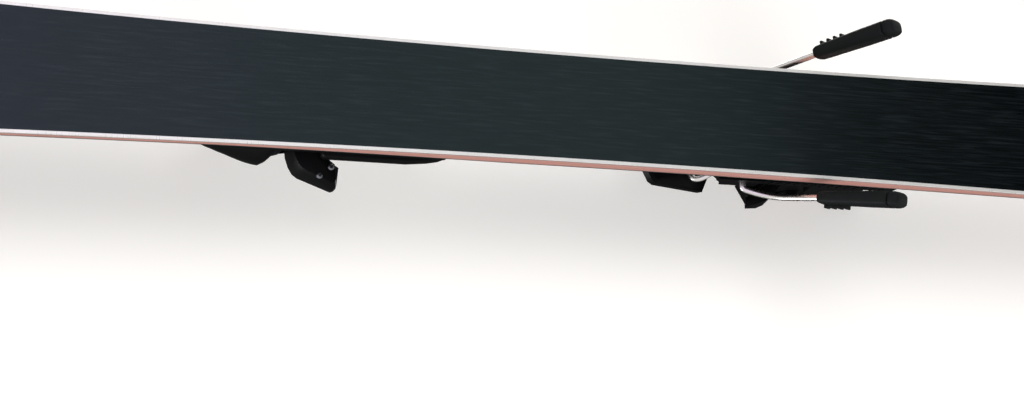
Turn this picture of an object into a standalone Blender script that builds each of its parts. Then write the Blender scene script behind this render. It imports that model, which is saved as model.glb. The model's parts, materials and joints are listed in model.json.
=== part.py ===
"""Alpine carving ski with its step-in binding and its ski brake.

Frame: +X towards the tip, +Y to the left, +Z up. The origin lies on the running surface, under the
middle of the boot sole. The brake is down, as it is with no boot in the binding.
"""
import math

import bmesh
import bpy
from mathutils import Matrix, Vector

# Clearances
GAP = 0.0003            # between pieces that touch
HOLE_GAP = 0.0003       # radial, round pins, screws and the wire
CUTTER_REACH = 0.01     # how far a cutter runs past what it cuts

# Ski outline and side view
SKI_LENGTH = 1.700
TAIL_BEHIND_BOOT = 0.770        # from the middle of the boot sole
SKI_TAIL_X = -TAIL_BEHIND_BOOT
SKI_TIP_X = SKI_TAIL_X + SKI_LENGTH
WAIST_WIDTH = 0.068
WAIST_X = -0.0039
FRONT_SIDECUT_RADIUS = 15.3
REAR_SIDECUT_RADIUS = 16.3
TIP_ROUNDING_LENGTH = 0.230
TAIL_ROUNDING_LENGTH = 0.110
TIP_PIECE_LENGTH = 0.065
TAIL_PIECE_LENGTH = 0.022
FLAT_FRONT_X = 0.235     # the ski is flat and full thickness between these two
FLAT_REAR_X = -0.250
FRONT_CONTACT_FROM_TIP = 0.210
REAR_CONTACT_FROM_TAIL = 0.110
FRONT_CONTACT_X = SKI_TIP_X - FRONT_CONTACT_FROM_TIP
REAR_CONTACT_X = SKI_TAIL_X + REAR_CONTACT_FROM_TAIL
CAMBER = 0.003
TIP_RISE = 0.058
TAIL_RISE = 0.010
THICKNESS_MIDDLE = 0.0160
THICKNESS_TIP = 0.0070
THICKNESS_TAIL = 0.0075

# Layers of the ski
BASE_THICKNESS = 0.0013
EDGE_WIDTH = 0.0020
EDGE_HEIGHT = 0.0020
EDGE_FLANGE_WIDTH = 0.0035
LAMINATE_THICKNESS = 0.0005
SIDEWALL_WIDTH = 0.0060
SIDEWALL_TOP_MIDDLE = 0.0139
SIDEWALL_TOP_FRONT = 0.0071
SIDEWALL_TOP_REAR = 0.0080
SIDEWALL_FALL_FRONT_X = 0.030   # ahead of here the sidewall gets lower
SIDEWALL_LOW_FRONT_X = 0.225    # and from here on it is low
SIDEWALL_FALL_REAR_X = -0.200
SIDEWALL_LOW_REAR_X = -0.480
CAP_LIP = 0.0005                # upright rim of the topsheet
CAP_MIN_THICKNESS = 0.0010
STATION_STEP = 0.040

# Plates that lift the toe and heel pieces off the ski
RISER_THICKNESS = 0.0117
RISER_HALF_WIDTH = 0.0285
RISER_CHAMFER = 0.0060

# Boot sole that the binding is set for; heights are above the risers
BOOT_SOLE_LENGTH = 0.317
BOOT_TOE_RADIUS = 0.040
BOOT_HEEL_RADIUS = 0.0385
TOE_STAND_HEIGHT = 0.0200
HEEL_STAND_HEIGHT = 0.0190
TOE_LUG_HEIGHT = 0.0190
HEEL_LUG_HEIGHT = 0.0300
TOE_LUG_CLEARANCE = 0.0005
HEEL_LUG_CLEARANCE = 0.0005

# Toe piece
TOE_PLATE_THICKNESS = 0.0050
TOE_PLATE_HALF_WIDTH = 0.0312
TOE_PLATE_REAR_REACH = 0.0890   # behind the boot toe
TOE_NOSE_REACH = 0.0715         # ahead of the boot toe
TOE_HOUSING_REAR = 0.0012       # ahead of the boot toe
TOE_SLOT_DEPTH = 0.0160         # ahead of the boot toe
TOE_SHOULDER_HALF_WIDTH = 0.0358
TOE_BORE_RADIUS = 0.0083
TOE_BORE_HEIGHT = 0.0145        # above the toe plate
WING_BOTTOM_HEIGHT = 0.0130     # above the toe plate
WING_HEIGHT = 0.0292
WING_HUB_RADIUS = 0.0046
WING_PIN_RADIUS = 0.0022
WING_PIN_SPACING = 0.0230
WING_PIN_AHEAD = 0.0055
WING_INNER_CLEARANCE = 0.0025
WING_LIP_REACH = 0.0055
WING_FLARE = 0.0046             # how much shorter the wing is at its bottom
TOE_TONGUE_THICKNESS = 0.0080
TOE_COVER_THICKNESS = 0.0032
TOE_WINDOW_LENGTH = 0.0120
TOE_WINDOW_WIDTH = 0.0090
TOE_WINDOW_AHEAD = 0.0330
TOE_PISTON_LENGTH = 0.0075
TOE_PISTON_BOSS_LENGTH = 0.0050
TOE_PISTON_BOSS_RADIUS = 0.0038
TOE_PISTON_TRAVEL = 0.0040
TOE_SCREW_SHAFT_RADIUS = 0.0026
TOE_SCREW_HEAD_LENGTH = 0.0060
TOE_NUT_LENGTH = 0.0050
TOE_NUT_AHEAD = 0.0455
TOE_SPRING_WIRE_RADIUS = 0.0010
TOE_SPRING_CURLS = 7
AFD_BASE_THICKNESS = 0.0094
AFD_HALF_WIDTH = 0.0334
AFD_FRONT_BEHIND = 0.0169       # behind the boot toe
AFD_EAR_LENGTH = 0.0115         # ahead of the front, outside the rear toe screws
AFD_EAR_WIDTH = 0.0074
AFD_SLIDER_HALF_WIDTH = 0.0290
AFD_KEY_WIDTH = 0.0120
AFD_KEY_DEPTH = 0.0035
AFD_KEY_HALF_LENGTH = 0.0150
AFD_TRAVEL = 0.0080

# Heel piece
TRACK_LENGTH = 0.0979
TRACK_PLATE_THICKNESS = 0.0030
TRACK_HALF_WIDTH = 0.0297
RAIL_HALF_WIDTH = 0.0170
RAIL_HEIGHT = 0.0030
RAIL_FLANGE_HALF_WIDTH = 0.0215
RAIL_FLANGE_THICKNESS = 0.0028
RACK_SLOT_PITCH = 0.0040
RACK_SLOT_DEPTH = 0.0014
RACK_SLOT_HALF_LENGTH = 0.0035
CARRIAGE_LENGTH = 0.0950
CARRIAGE_HALF_WIDTH = 0.0320
CARRIAGE_BELOW_BOOT = 0.0005    # gap under the boot heel
CARRIAGE_TRAVEL_FORWARD = 0.0060
CARRIAGE_TRAVEL_BACK = 0.0060
CHEEK_THICKNESS = 0.0060
CHEEK_LENGTH = 0.0340
CHEEK_TOP = 0.0440              # above the riser
PRESSURE_SCREW_RADIUS = 0.0036
PRESSURE_SCREW_LENGTH = 0.0480
PRESSURE_SCREW_HEAD_LENGTH = 0.0050
PRESSURE_SCREW_END_LENGTH = 0.0010
PRESSURE_SCREW_INSET = 0.0010   # of its head in the back of the carriage
JAW_HALF_WIDTH = 0.0245
JAW_PIN_RADIUS = 0.0030
JAW_PIN_BEHIND = 0.0305         # behind the boot heel
JAW_PIN_HEIGHT = 0.0340         # above the riser
JAW_BORE_RADIUS = 0.0092
JAW_BORE_HEIGHT = 0.0500        # above the riser
JAW_BORE_FRONT_BEHIND = 0.0085  # behind the boot heel
CUP_BOTTOM_HEIGHT = 0.0370      # above the riser
CUP_LIP_THICKNESS = 0.0110
CUP_INNER_CLEARANCE = 0.0015
CUP_LIP_REACH = 0.0100
CUP_WALL = 0.0085
CUP_FLARE = 0.0064              # at the bottom of the mouth
CUP_TOP_FLARE = 0.0030
CUP_MOUTH_AHEAD = 0.0235        # at the bottom, ahead of the boot heel
CUP_TOP_MOUTH_AHEAD = 0.0142
LEVER_LENGTH = 0.0810
LEVER_HALF_WIDTH = 0.0285
LEVER_THICKNESS = 0.0050
LEVER_PIN_RADIUS = 0.0025
LEVER_PIN_BEHIND = 0.0225
LEVER_PIN_HEIGHT = 0.0675       # above the riser
LEVER_EAR_RADIUS = 0.0058
LEVER_RISE = math.radians(13)
HEEL_PISTON_LENGTH = 0.0060
HEEL_PISTON_TRAVEL = 0.0030
HEEL_PISTON_BOSS_LENGTH = 0.0050
HEEL_PISTON_BOSS_RADIUS = 0.0040
HEEL_SCREW_HEAD_LENGTH = 0.0055
HEEL_SCREW_HEAD_BEHIND = 0.0600 # behind the boot heel
HEEL_SCREW_SHAFT_RADIUS = 0.0028
HEEL_NUT_LENGTH = 0.0050
HEEL_NUT_FROM_HEAD = 0.0100     # ahead of the screw's head
HEEL_SPRING_WIRE_RADIUS = 0.0012
HEEL_SPRING_CURLS = 6

# Brake
BRAKE_AXLE_AHEAD = 0.0360       # ahead of the boot heel
BRAKE_AXLE_HEIGHT = 0.0123      # above the riser
WIRE_RADIUS = 0.0021
WIRE_BEND_RADIUS = 0.0042
BRAKE_BASE_HALF_WIDTH = 0.0330
BRAKE_BASE_TOP = 0.0175         # above the riser
BRAKE_BASE_REAR_AHEAD = 0.0262
BRAKE_BASE_BLOCK_LENGTH = 0.0350
BRAKE_TONGUE_HALF_WIDTH = 0.0230
BRAKE_TONGUE_THICKNESS = 0.0028
BRAKE_TONGUE_FRONT_AHEAD = 0.1000
BRAKE_CHEEK_THICKNESS = 0.0060
BRAKE_LEG_SLOT = 0.0060
CROSSBAR_AHEAD = 0.0280         # ahead of the axle
CROSSBAR_ABOVE = 0.0220         # above the axle
CROSSBAR_HALF_WIDTH = 0.0312
LEG_BEND = 0.58                 # share of the leg that runs straight inside the base
ARM_BEND_BACK = 0.0168          # behind the axle
ARM_BEND_DROP = 0.0023          # below it
ARM_BEND_OUT = 0.0411
PAD_START_BACK = 0.0365
PAD_START_DROP = 0.0372
PAD_START_OUT = 0.0466
PAD_END_BACK = 0.0686
PAD_END_DROP = 0.0860
PAD_END_OUT = 0.0548
PAD_HALF_THICKNESS = 0.0049     # across the ski
PAD_HALF_DEPTH = 0.0078         # along the ski
PAD_TEETH = 4
PAD_TOOTH_HEIGHT = 0.0012
WIRE_IN_PAD = 0.0300
PEDAL_FRONT_REACH = 0.0338      # ahead of the crossbar
PEDAL_REAR_REACH = 0.0255
PEDAL_HALF_WIDTH = 0.0332
PEDAL_THICKNESS = 0.0072
PEDAL_HUB_RADIUS = 0.0046
PEDAL_HUB_HALF_WIDTH = 0.0185
PEDAL_TILT = math.radians(24)
BRAKE_SPRING_WIRE_RADIUS = 0.0009
BRAKE_SPRING_RADIUS = 0.0042
BRAKE_SPRING_CURLS = 9
BRAKE_SPRING_PIN_RADIUS = 0.0024

# Screws into the ski
SCREW_SHAFT_RADIUS = 0.00275
SCREW_HEAD_RADIUS = 0.0046
SCREW_HEAD_HEIGHT = 0.0026
SCREW_DEPTH = 0.0095            # below the top of the ski
SCREW_SOCKET_RADIUS = 0.0018
SCREW_SOCKET_DEPTH = 0.0016
TOE_SCREW_HALF_SPACING = 0.0205
TOE_REAR_SCREW_BEHIND = 0.0115
TOE_FRONT_SCREW_AHEAD = 0.0440
HEEL_SCREW_HALF_SPACING = 0.0115
HEEL_FRONT_SCREW_MARGIN = 0.0100   # from the front of the track
HEEL_REAR_SCREW_MARGIN = 0.0180    # from its rear

# Facets
ROUND_SEGMENTS = 20
SMALL_ROUND_SEGMENTS = 14
SPRING_POINTS_PER_CURL = 9
ARC_STEPS = 5

# Places that follow from the sizes above
SKI_TOP = THICKNESS_MIDDLE
RISER_BOTTOM = SKI_TOP + GAP
RISER_TOP = RISER_BOTTOM + RISER_THICKNESS
BOOT_TOE_X = BOOT_SOLE_LENGTH / 2
BOOT_HEEL_X = -BOOT_SOLE_LENGTH / 2
SEAT = RISER_TOP + GAP
CORE_BOTTOM = EDGE_HEIGHT + GAP + LAMINATE_THICKNESS + GAP
TIP_JOIN_X = SKI_TIP_X - TIP_PIECE_LENGTH
TAIL_JOIN_X = SKI_TAIL_X + TAIL_PIECE_LENGTH

TOE_PLATE_TOP = SEAT + TOE_PLATE_THICKNESS
TOE_SEAT = TOE_PLATE_TOP + GAP
WING_BOTTOM = TOE_PLATE_TOP + WING_BOTTOM_HEIGHT
WING_TOP = WING_BOTTOM + WING_HEIGHT
TOE_LIP_BOTTOM = RISER_TOP + TOE_STAND_HEIGHT + TOE_LUG_HEIGHT + TOE_LUG_CLEARANCE
WING_PIN_X = BOOT_TOE_X + WING_PIN_AHEAD
TOE_BORE_Z = TOE_PLATE_TOP + TOE_BORE_HEIGHT
TOE_NOSE_X = BOOT_TOE_X + TOE_NOSE_REACH
TOE_HOUSING_TOP = WING_TOP + GAP + TOE_TONGUE_THICKNESS
TOE_SLOT_X = BOOT_TOE_X + TOE_SLOT_DEPTH
AFD_BASE_TOP = TOE_SEAT + AFD_BASE_THICKNESS
AFD_SLIDER_TOP = RISER_TOP + TOE_STAND_HEIGHT
AFD_FRONT_X = BOOT_TOE_X - AFD_FRONT_BEHIND
AFD_REAR_X = BOOT_TOE_X - TOE_PLATE_REAR_REACH

BRAKE_BASE_REAR_X = BOOT_HEEL_X + BRAKE_BASE_REAR_AHEAD
TRACK_FRONT_X = BRAKE_BASE_REAR_X - CARRIAGE_TRAVEL_BACK - GAP
TRACK_REAR_X = TRACK_FRONT_X - TRACK_LENGTH
TRACK_PLATE_TOP = SEAT + TRACK_PLATE_THICKNESS
RAIL_FLANGE_BOTTOM = TRACK_PLATE_TOP + RAIL_HEIGHT
RAIL_TOP = RAIL_FLANGE_BOTTOM + RAIL_FLANGE_THICKNESS
CARRIAGE_FRONT_X = BRAKE_BASE_REAR_X - GAP
CARRIAGE_REAR_X = CARRIAGE_FRONT_X - CARRIAGE_LENGTH
CARRIAGE_TOP = RISER_TOP + HEEL_STAND_HEIGHT - CARRIAGE_BELOW_BOOT
JAW_PIN_X = BOOT_HEEL_X - JAW_PIN_BEHIND
JAW_PIN_Z = RISER_TOP + JAW_PIN_HEIGHT
JAW_BORE_Z = RISER_TOP + JAW_BORE_HEIGHT
CUP_BOTTOM = RISER_TOP + CUP_BOTTOM_HEIGHT
CUP_LIP_BOTTOM = RISER_TOP + HEEL_STAND_HEIGHT + HEEL_LUG_HEIGHT + HEEL_LUG_CLEARANCE
LEVER_PIN_X = BOOT_HEEL_X - LEVER_PIN_BEHIND
LEVER_PIN_Z = RISER_TOP + LEVER_PIN_HEIGHT
PRESSURE_SCREW_Z = RAIL_TOP + GAP + PRESSURE_SCREW_RADIUS
THREAD_REAR_X = CARRIAGE_REAR_X + PRESSURE_SCREW_INSET + PRESSURE_SCREW_HEAD_LENGTH
THREAD_LENGTH = PRESSURE_SCREW_LENGTH - PRESSURE_SCREW_HEAD_LENGTH - PRESSURE_SCREW_END_LENGTH

AXLE_X = BOOT_HEEL_X + BRAKE_AXLE_AHEAD
AXLE_Z = RISER_TOP + BRAKE_AXLE_HEIGHT
CROSSBAR_X = AXLE_X + CROSSBAR_AHEAD
CROSSBAR_Z = AXLE_Z + CROSSBAR_ABOVE
AXLE_POINT = Vector((AXLE_X, 0.0, AXLE_Z))
CROSSBAR_POINT = Vector((CROSSBAR_X, 0.0, CROSSBAR_Z))


def clear_scene():
    for obj in list(bpy.data.objects):
        bpy.data.objects.remove(obj, do_unlink=True)


def make_material(name, colour, roughness, metallic=0.0, transmission=0.0):
    material = bpy.data.materials.new(name)
    material.use_nodes = True
    shader = material.node_tree.nodes["Principled BSDF"]
    shader.inputs["Base Color"].default_value = (*colour, 1.0)
    shader.inputs["Roughness"].default_value = roughness
    shader.inputs["Metallic"].default_value = metallic
    shader.inputs["Transmission Weight"].default_value = transmission
    material.diffuse_color = (*colour, 1.0)
    return material


clear_scene()
RUNNING_BASE = make_material("sintered base", (0.018, 0.022, 0.028), 0.35)
EDGE_STEEL = make_material("edge steel", (0.75, 0.75, 0.76), 0.25, 1.0)
ALUMINIUM = make_material("laminate aluminium", (0.72, 0.73, 0.75), 0.35, 1.0)
WOOD = make_material("core wood", (0.62, 0.45, 0.27), 0.6)
CORAL = make_material("coral sidewall", (0.72, 0.26, 0.19), 0.4)
TOPSHEET = make_material("topsheet", (0.80, 0.80, 0.78), 0.3)
BLACK_PLASTIC = make_material("black plastic", (0.012, 0.012, 0.013), 0.45)
GREY_PLASTIC = make_material("grey plastic", (0.06, 0.065, 0.07), 0.45)
WHITE_PLASTIC = make_material("low friction white", (0.75, 0.75, 0.73), 0.3)
CLEAR = make_material("clear window", (0.9, 0.9, 0.9), 0.05, 0.0, 1.0)
RUBBER = make_material("pad rubber", (0.010, 0.010, 0.011), 0.7)
WIRE_STEEL = make_material("wire steel", (0.80, 0.79, 0.77), 0.18, 1.0)
ZINC_STEEL = make_material("zinc steel", (0.62, 0.62, 0.60), 0.35, 1.0)


def new_object(name, mesh, material, pivot):
    """Link a mesh whose points are in world places, with its origin at the pivot."""
    pivot = Vector(pivot)
    mesh.transform(Matrix.Translation(-pivot))
    mesh.materials.append(material)
    obj = bpy.data.objects.new(name, mesh)
    obj.location = pivot
    bpy.context.collection.objects.link(obj)
    return obj


def mesh_from(name, points, faces):
    mesh = bpy.data.meshes.new(name)
    mesh.from_pydata([tuple(p) for p in points], [], faces)
    work = bmesh.new()
    work.from_mesh(mesh)
    bmesh.ops.recalc_face_normals(work, faces=work.faces)
    work.to_mesh(mesh)
    work.free()
    return mesh


def loft_mesh(name, rings):
    """Skin rings of equally many points and close both ends."""
    count = len(rings[0])
    points = [p for ring in rings for p in ring]
    faces = []
    for i in range(len(rings) - 1):
        for j in range(count):
            k = (j + 1) % count
            faces.append((i * count + j, i * count + k, (i + 1) * count + k, (i + 1) * count + j))
    faces.append(tuple(range(count)))
    faces.append(tuple(range((len(rings) - 1) * count, len(rings) * count)))
    return mesh_from(name, points, faces)


def loft(name, rings, material, pivot=(0, 0, 0), smooth_angle=None):
    obj = new_object(name, loft_mesh(name, rings), material, pivot)
    if smooth_angle:
        obj.data.shade_smooth()
        obj.data.set_sharp_from_angle(angle=math.radians(smooth_angle))
    return obj


def prism(name, outline, low, high, material, axis="Z", pivot=(0, 0, 0)):
    """Extrude a closed outline along an axis; the outline's two numbers are the other two axes in order."""
    def lift(p, level):
        if axis == "Z":
            return (p[0], p[1], level)
        if axis == "Y":
            return (p[0], level, p[1])
        return (level, p[0], p[1])
    return loft(name, [[lift(p, low) for p in outline], [lift(p, high) for p in outline]], material, pivot)


def block(name, low, high, material, pivot=(0, 0, 0)):
    outline = [(low[0], low[1]), (high[0], low[1]), (high[0], high[1]), (low[0], high[1])]
    return prism(name, outline, low[2], high[2], material, "Z", pivot)


def turned(name, profile, start, direction, material, segments=ROUND_SEGMENTS, pivot=None, bore=0.0):
    """Turn (distance along the axis, radius) pairs round the axis; a bore makes it a tube."""
    along = Vector(direction).normalized()
    side = along.orthogonal().normalized()
    other = along.cross(side)
    start = Vector(start)
    rings = []
    for distance, radius in profile:
        rings.append([start + along * distance
                      + (side * math.cos(math.tau * s / segments) + other * math.sin(math.tau * s / segments))
                      * radius for s in range(segments)])
    if not bore:
        mesh = loft_mesh(name, rings)
    else:
        for distance in (profile[-1][0], profile[0][0]):
            rings.append([start + along * distance
                          + (side * math.cos(math.tau * s / segments)
                             + other * math.sin(math.tau * s / segments)) * bore for s in range(segments)])
        points = [p for ring in rings for p in ring]
        faces = []
        for i in range(len(rings)):
            for j in range(segments):
                k = (j + 1) % segments
                n = (i + 1) % len(rings)
                faces.append((i * segments + j, i * segments + k, n * segments + k, n * segments + j))
        mesh = mesh_from(name, points, faces)
    obj = new_object(name, mesh, material, start if pivot is None else pivot)
    obj.data.shade_smooth()
    obj.data.set_sharp_from_angle(angle=math.radians(35))
    return obj


def tube(name, points, radius, material, pivot=(0, 0, 0), resolution=2):
    """Round wire along points."""
    pivot = Vector(pivot)
    curve = bpy.data.curves.new(name, "CURVE")
    curve.dimensions = "3D"
    curve.bevel_depth = radius
    curve.bevel_resolution = resolution
    curve.use_fill_caps = True
    spline = curve.splines.new("POLY")
    spline.points.add(len(points) - 1)
    for slot, p in zip(spline.points, points):
        slot.co = (*(Vector(p) - pivot), 1.0)
    curve.materials.append(material)
    obj = bpy.data.objects.new(name, curve)
    obj.location = pivot
    bpy.context.collection.objects.link(obj)
    return obj


def as_cutter(obj):
    obj.hide_render = True
    obj.display_type = "WIRE"
    return obj


def boolean(obj, other, operation="DIFFERENCE"):
    as_cutter(other)
    modifier = obj.modifiers.new(operation.lower(), "BOOLEAN")
    modifier.operation = operation
    modifier.solver = "EXACT"
    modifier.object = other


def soften(obj, width, segments=2):
    modifier = obj.modifiers.new("soften", "BEVEL")
    modifier.width = width
    modifier.segments = segments
    modifier.limit_method = "ANGLE"
    modifier.angle_limit = math.radians(40)


def mirrored(half):
    """Close an outline given from its first to its last point on the +Y side, ends on the middle line."""
    other = [(x, -y) for x, y in reversed(half) if y > 1e-9]
    return list(half) + other


def lerp(low, high, t):
    return low + (high - low) * t


def clamp01(t):
    return max(0.0, min(1.0, t))


def smoothstep(t):
    t = clamp01(t)
    return t * t * (3 - 2 * t)


def along_table(table, x):
    """Read a smooth curve through (x, value) pairs in rising x."""
    if x <= table[0][0]:
        return table[0][1]
    for (x0, v0), (x1, v1) in zip(table, table[1:]):
        if x <= x1:
            t = (x - x0) / (x1 - x0)
            return lerp(v0, v1, t * (1 - 0.5 * t * (1 - t)) if v1 < v0 else t)
    return table[-1][1]


# The ski

def ski_half_width(x):
    offset = x - WAIST_X
    radius = FRONT_SIDECUT_RADIUS if offset > 0 else REAR_SIDECUT_RADIUS
    width = WAIST_WIDTH + offset * offset / radius
    tip = clamp01((x - (SKI_TIP_X - TIP_ROUNDING_LENGTH)) / TIP_ROUNDING_LENGTH)
    tail = clamp01(((SKI_TAIL_X + TAIL_ROUNDING_LENGTH) - x) / TAIL_ROUNDING_LENGTH)
    rounding = math.sqrt(max(0.0, 1 - tip ** 3)) * max(0.0, 1 - tail ** 5) ** 0.4
    return width / 2 * rounding


def ski_bottom(x):
    """Height of the running surface: flat under the boot, arched to the contact lines, then rising."""
    if x > FRONT_CONTACT_X:
        rise = ((x - FRONT_CONTACT_X) / (SKI_TIP_X - FRONT_CONTACT_X)) ** 2
        return -CAMBER + (CAMBER + TIP_RISE) * rise
    if x < REAR_CONTACT_X:
        rise = ((REAR_CONTACT_X - x) / (REAR_CONTACT_X - SKI_TAIL_X)) ** 2
        return -CAMBER + (CAMBER + TAIL_RISE) * rise
    if x > FLAT_FRONT_X:
        return -CAMBER * smoothstep((x - FLAT_FRONT_X) / (FRONT_CONTACT_X - FLAT_FRONT_X))
    if x < FLAT_REAR_X:
        return -CAMBER * smoothstep((FLAT_REAR_X - x) / (FLAT_REAR_X - REAR_CONTACT_X))
    return 0.0


def ski_thickness(x):
    if x > FLAT_FRONT_X:
        t = clamp01((x - FLAT_FRONT_X) / (TIP_JOIN_X - FLAT_FRONT_X))
        return lerp(THICKNESS_MIDDLE, THICKNESS_TIP, t ** 0.9)
    if x < FLAT_REAR_X:
        t = clamp01((FLAT_REAR_X - x) / (FLAT_REAR_X - TAIL_JOIN_X))
        return lerp(THICKNESS_MIDDLE, THICKNESS_TAIL, t)
    return THICKNESS_MIDDLE


def sidewall_top(x):
    """Height of the sidewall's top above the running surface."""
    if x > SIDEWALL_FALL_FRONT_X:
        t = (x - SIDEWALL_FALL_FRONT_X) / (SIDEWALL_LOW_FRONT_X - SIDEWALL_FALL_FRONT_X)
        top = lerp(SIDEWALL_TOP_MIDDLE, SIDEWALL_TOP_FRONT, clamp01(t))
    elif x < SIDEWALL_FALL_REAR_X:
        t = (SIDEWALL_FALL_REAR_X - x) / (SIDEWALL_FALL_REAR_X - SIDEWALL_LOW_REAR_X)
        top = lerp(SIDEWALL_TOP_MIDDLE, SIDEWALL_TOP_REAR, clamp01(t))
    else:
        top = SIDEWALL_TOP_MIDDLE
    room = ski_thickness(x) - CAP_MIN_THICKNESS - LAMINATE_THICKNESS - 2 * GAP
    return min(top, room)


def ski_stations():
    """Cross-sections: even steps, with the ends of the flat stretch among them."""
    marks = [TAIL_JOIN_X, REAR_CONTACT_X, FLAT_REAR_X, SIDEWALL_FALL_REAR_X, SIDEWALL_FALL_FRONT_X,
             SIDEWALL_LOW_FRONT_X, FLAT_FRONT_X, FRONT_CONTACT_X, TIP_JOIN_X]
    stations = []
    for low, high in zip(marks, marks[1:]):
        steps = max(1, math.ceil((high - low) / STATION_STEP))
        stations += [lerp(low, high, i / steps) for i in range(steps)]
    return stations + [TIP_JOIN_X]


def ski_layer(name, section, material):
    """Sweep a cross-section, given as (y, height above the running surface) pairs, along the ski."""
    rings = []
    for x in ski_stations():
        lift = ski_bottom(x)
        rings.append([(x, y, lift + z) for y, z in section(x)])
    return loft(name, rings, material)


def rectangle(half_width, low, high):
    return [(-half_width, low), (half_width, low), (half_width, high), (-half_width, high)]


def make_running_base():
    def section(x):
        return rectangle(ski_half_width(x) - EDGE_WIDTH - GAP, 0.0, BASE_THICKNESS)
    return ski_layer("running_base", section, RUNNING_BASE)


def make_edge(name, side):
    """Steel edge with the thin flange that anchors it above the running base."""
    flange_bottom = BASE_THICKNESS + GAP

    def section(x):
        outer = ski_half_width(x)
        inner = outer - EDGE_WIDTH
        flange = inner - EDGE_FLANGE_WIDTH
        half = [(inner, 0.0), (outer, 0.0), (outer, EDGE_HEIGHT), (flange, EDGE_HEIGHT),
                (flange, flange_bottom), (inner, flange_bottom)]
        return [(side * y, z) for y, z in half]
    return ski_layer(name, section, EDGE_STEEL)


def make_lower_laminate():
    low = EDGE_HEIGHT + GAP

    def section(x):
        return rectangle(ski_half_width(x), low, low + LAMINATE_THICKNESS)
    return ski_layer("lower_laminate", section, ALUMINIUM)


def make_wood_core():
    def section(x):
        return rectangle(ski_half_width(x) - SIDEWALL_WIDTH - GAP, CORE_BOTTOM, sidewall_top(x))
    return ski_layer("wood_core", section, WOOD)


def make_sidewall(name, side):
    def section(x):
        outer = ski_half_width(x)
        inner = outer - SIDEWALL_WIDTH
        top = sidewall_top(x)
        half = [(inner, CORE_BOTTOM), (outer, CORE_BOTTOM), (outer, top), (inner, top)]
        return [(side * y, z) for y, z in half]
    return ski_layer(name, section, CORAL)


def make_upper_laminate():
    def section(x):
        low = sidewall_top(x) + GAP
        return rectangle(ski_half_width(x), low, low + LAMINATE_THICKNESS)
    return ski_layer("upper_laminate", section, ALUMINIUM)


def make_topsheet():
    """The cap: an upright rim, sloping shoulders and a flat top."""
    def section(x):
        outer = ski_half_width(x)
        low = sidewall_top(x) + LAMINATE_THICKNESS + 2 * GAP
        top = ski_thickness(x)
        shoulder = outer - (top - low - CAP_LIP)
        return [(-outer, low), (outer, low), (outer, low + CAP_LIP), (shoulder, top),
                (-shoulder, top), (-outer, low + CAP_LIP)]
    return ski_layer("topsheet", section, TOPSHEET)


def end_piece(name, join_x, end_x, thickness, steps):
    """Solid plastic nose or tail of the ski, rounded in plan."""
    chamfer = thickness * 0.2
    rings = []
    for i in range(steps + 1):
        x = lerp(join_x, end_x, 1 - (1 - i / steps) ** 2 * (1 - 0.02 * i / steps))
        x = lerp(x, join_x, 0.004) if i == steps else x
        half = max(ski_half_width(x), thickness)
        low = ski_bottom(x)
        high = low + thickness
        rings.append([(x, -half + chamfer, low), (x, half - chamfer, low), (x, half, low + chamfer),
                      (x, half, high - chamfer), (x, half - chamfer, high), (x, -half + chamfer, high),
                      (x, -half, high - chamfer), (x, -half, low + chamfer)])
    return loft(name, rings, BLACK_PLASTIC)


def make_ski():
    make_running_base()
    make_edge("edge_left", 1)
    make_edge("edge_right", -1)
    make_lower_laminate()
    core = make_wood_core()
    make_sidewall("sidewall_left", 1)
    make_sidewall("sidewall_right", -1)
    laminate = make_upper_laminate()
    topsheet = make_topsheet()
    end_piece("tip_protector", TIP_JOIN_X + GAP, SKI_TIP_X, THICKNESS_TIP, 9)
    end_piece("tail_protector", TAIL_JOIN_X - GAP, SKI_TAIL_X, THICKNESS_TAIL, 6)
    return [core, laminate, topsheet]


# Screws into the ski

def screw_places():
    """Head seat heights and places of the toe and heel screws."""
    toe_front = BOOT_TOE_X + TOE_FRONT_SCREW_AHEAD
    toe_rear = BOOT_TOE_X - TOE_REAR_SCREW_BEHIND
    heel_front = TRACK_FRONT_X - HEEL_FRONT_SCREW_MARGIN
    heel_rear = TRACK_REAR_X + HEEL_REAR_SCREW_MARGIN
    toe = [(x, side * TOE_SCREW_HALF_SPACING) for x in (toe_rear, toe_front) for side in (1, -1)]
    heel = [(x, side * HEEL_SCREW_HALF_SPACING) for x in (heel_front, heel_rear) for side in (1, -1)]
    return toe, heel


def screw_mesh_object(name, x, y, head_top):
    """Screw with a countersunk head and a round drive socket, turned about its own axis."""
    length = head_top - (SKI_TOP - SCREW_DEPTH)
    profile = [(-SCREW_SOCKET_DEPTH, 0.0003), (-SCREW_SOCKET_DEPTH, SCREW_SOCKET_RADIUS),
               (0.0, SCREW_SOCKET_RADIUS), (0.0, SCREW_HEAD_RADIUS), (-0.0008, SCREW_HEAD_RADIUS),
               (-SCREW_HEAD_HEIGHT, SCREW_SHAFT_RADIUS), (-length + SCREW_SHAFT_RADIUS, SCREW_SHAFT_RADIUS),
               (-length, 0.0006)]
    return turned(name, profile, (x, y, head_top), (0, 0, 1), ZINC_STEEL, SMALL_ROUND_SEGMENTS)


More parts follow.
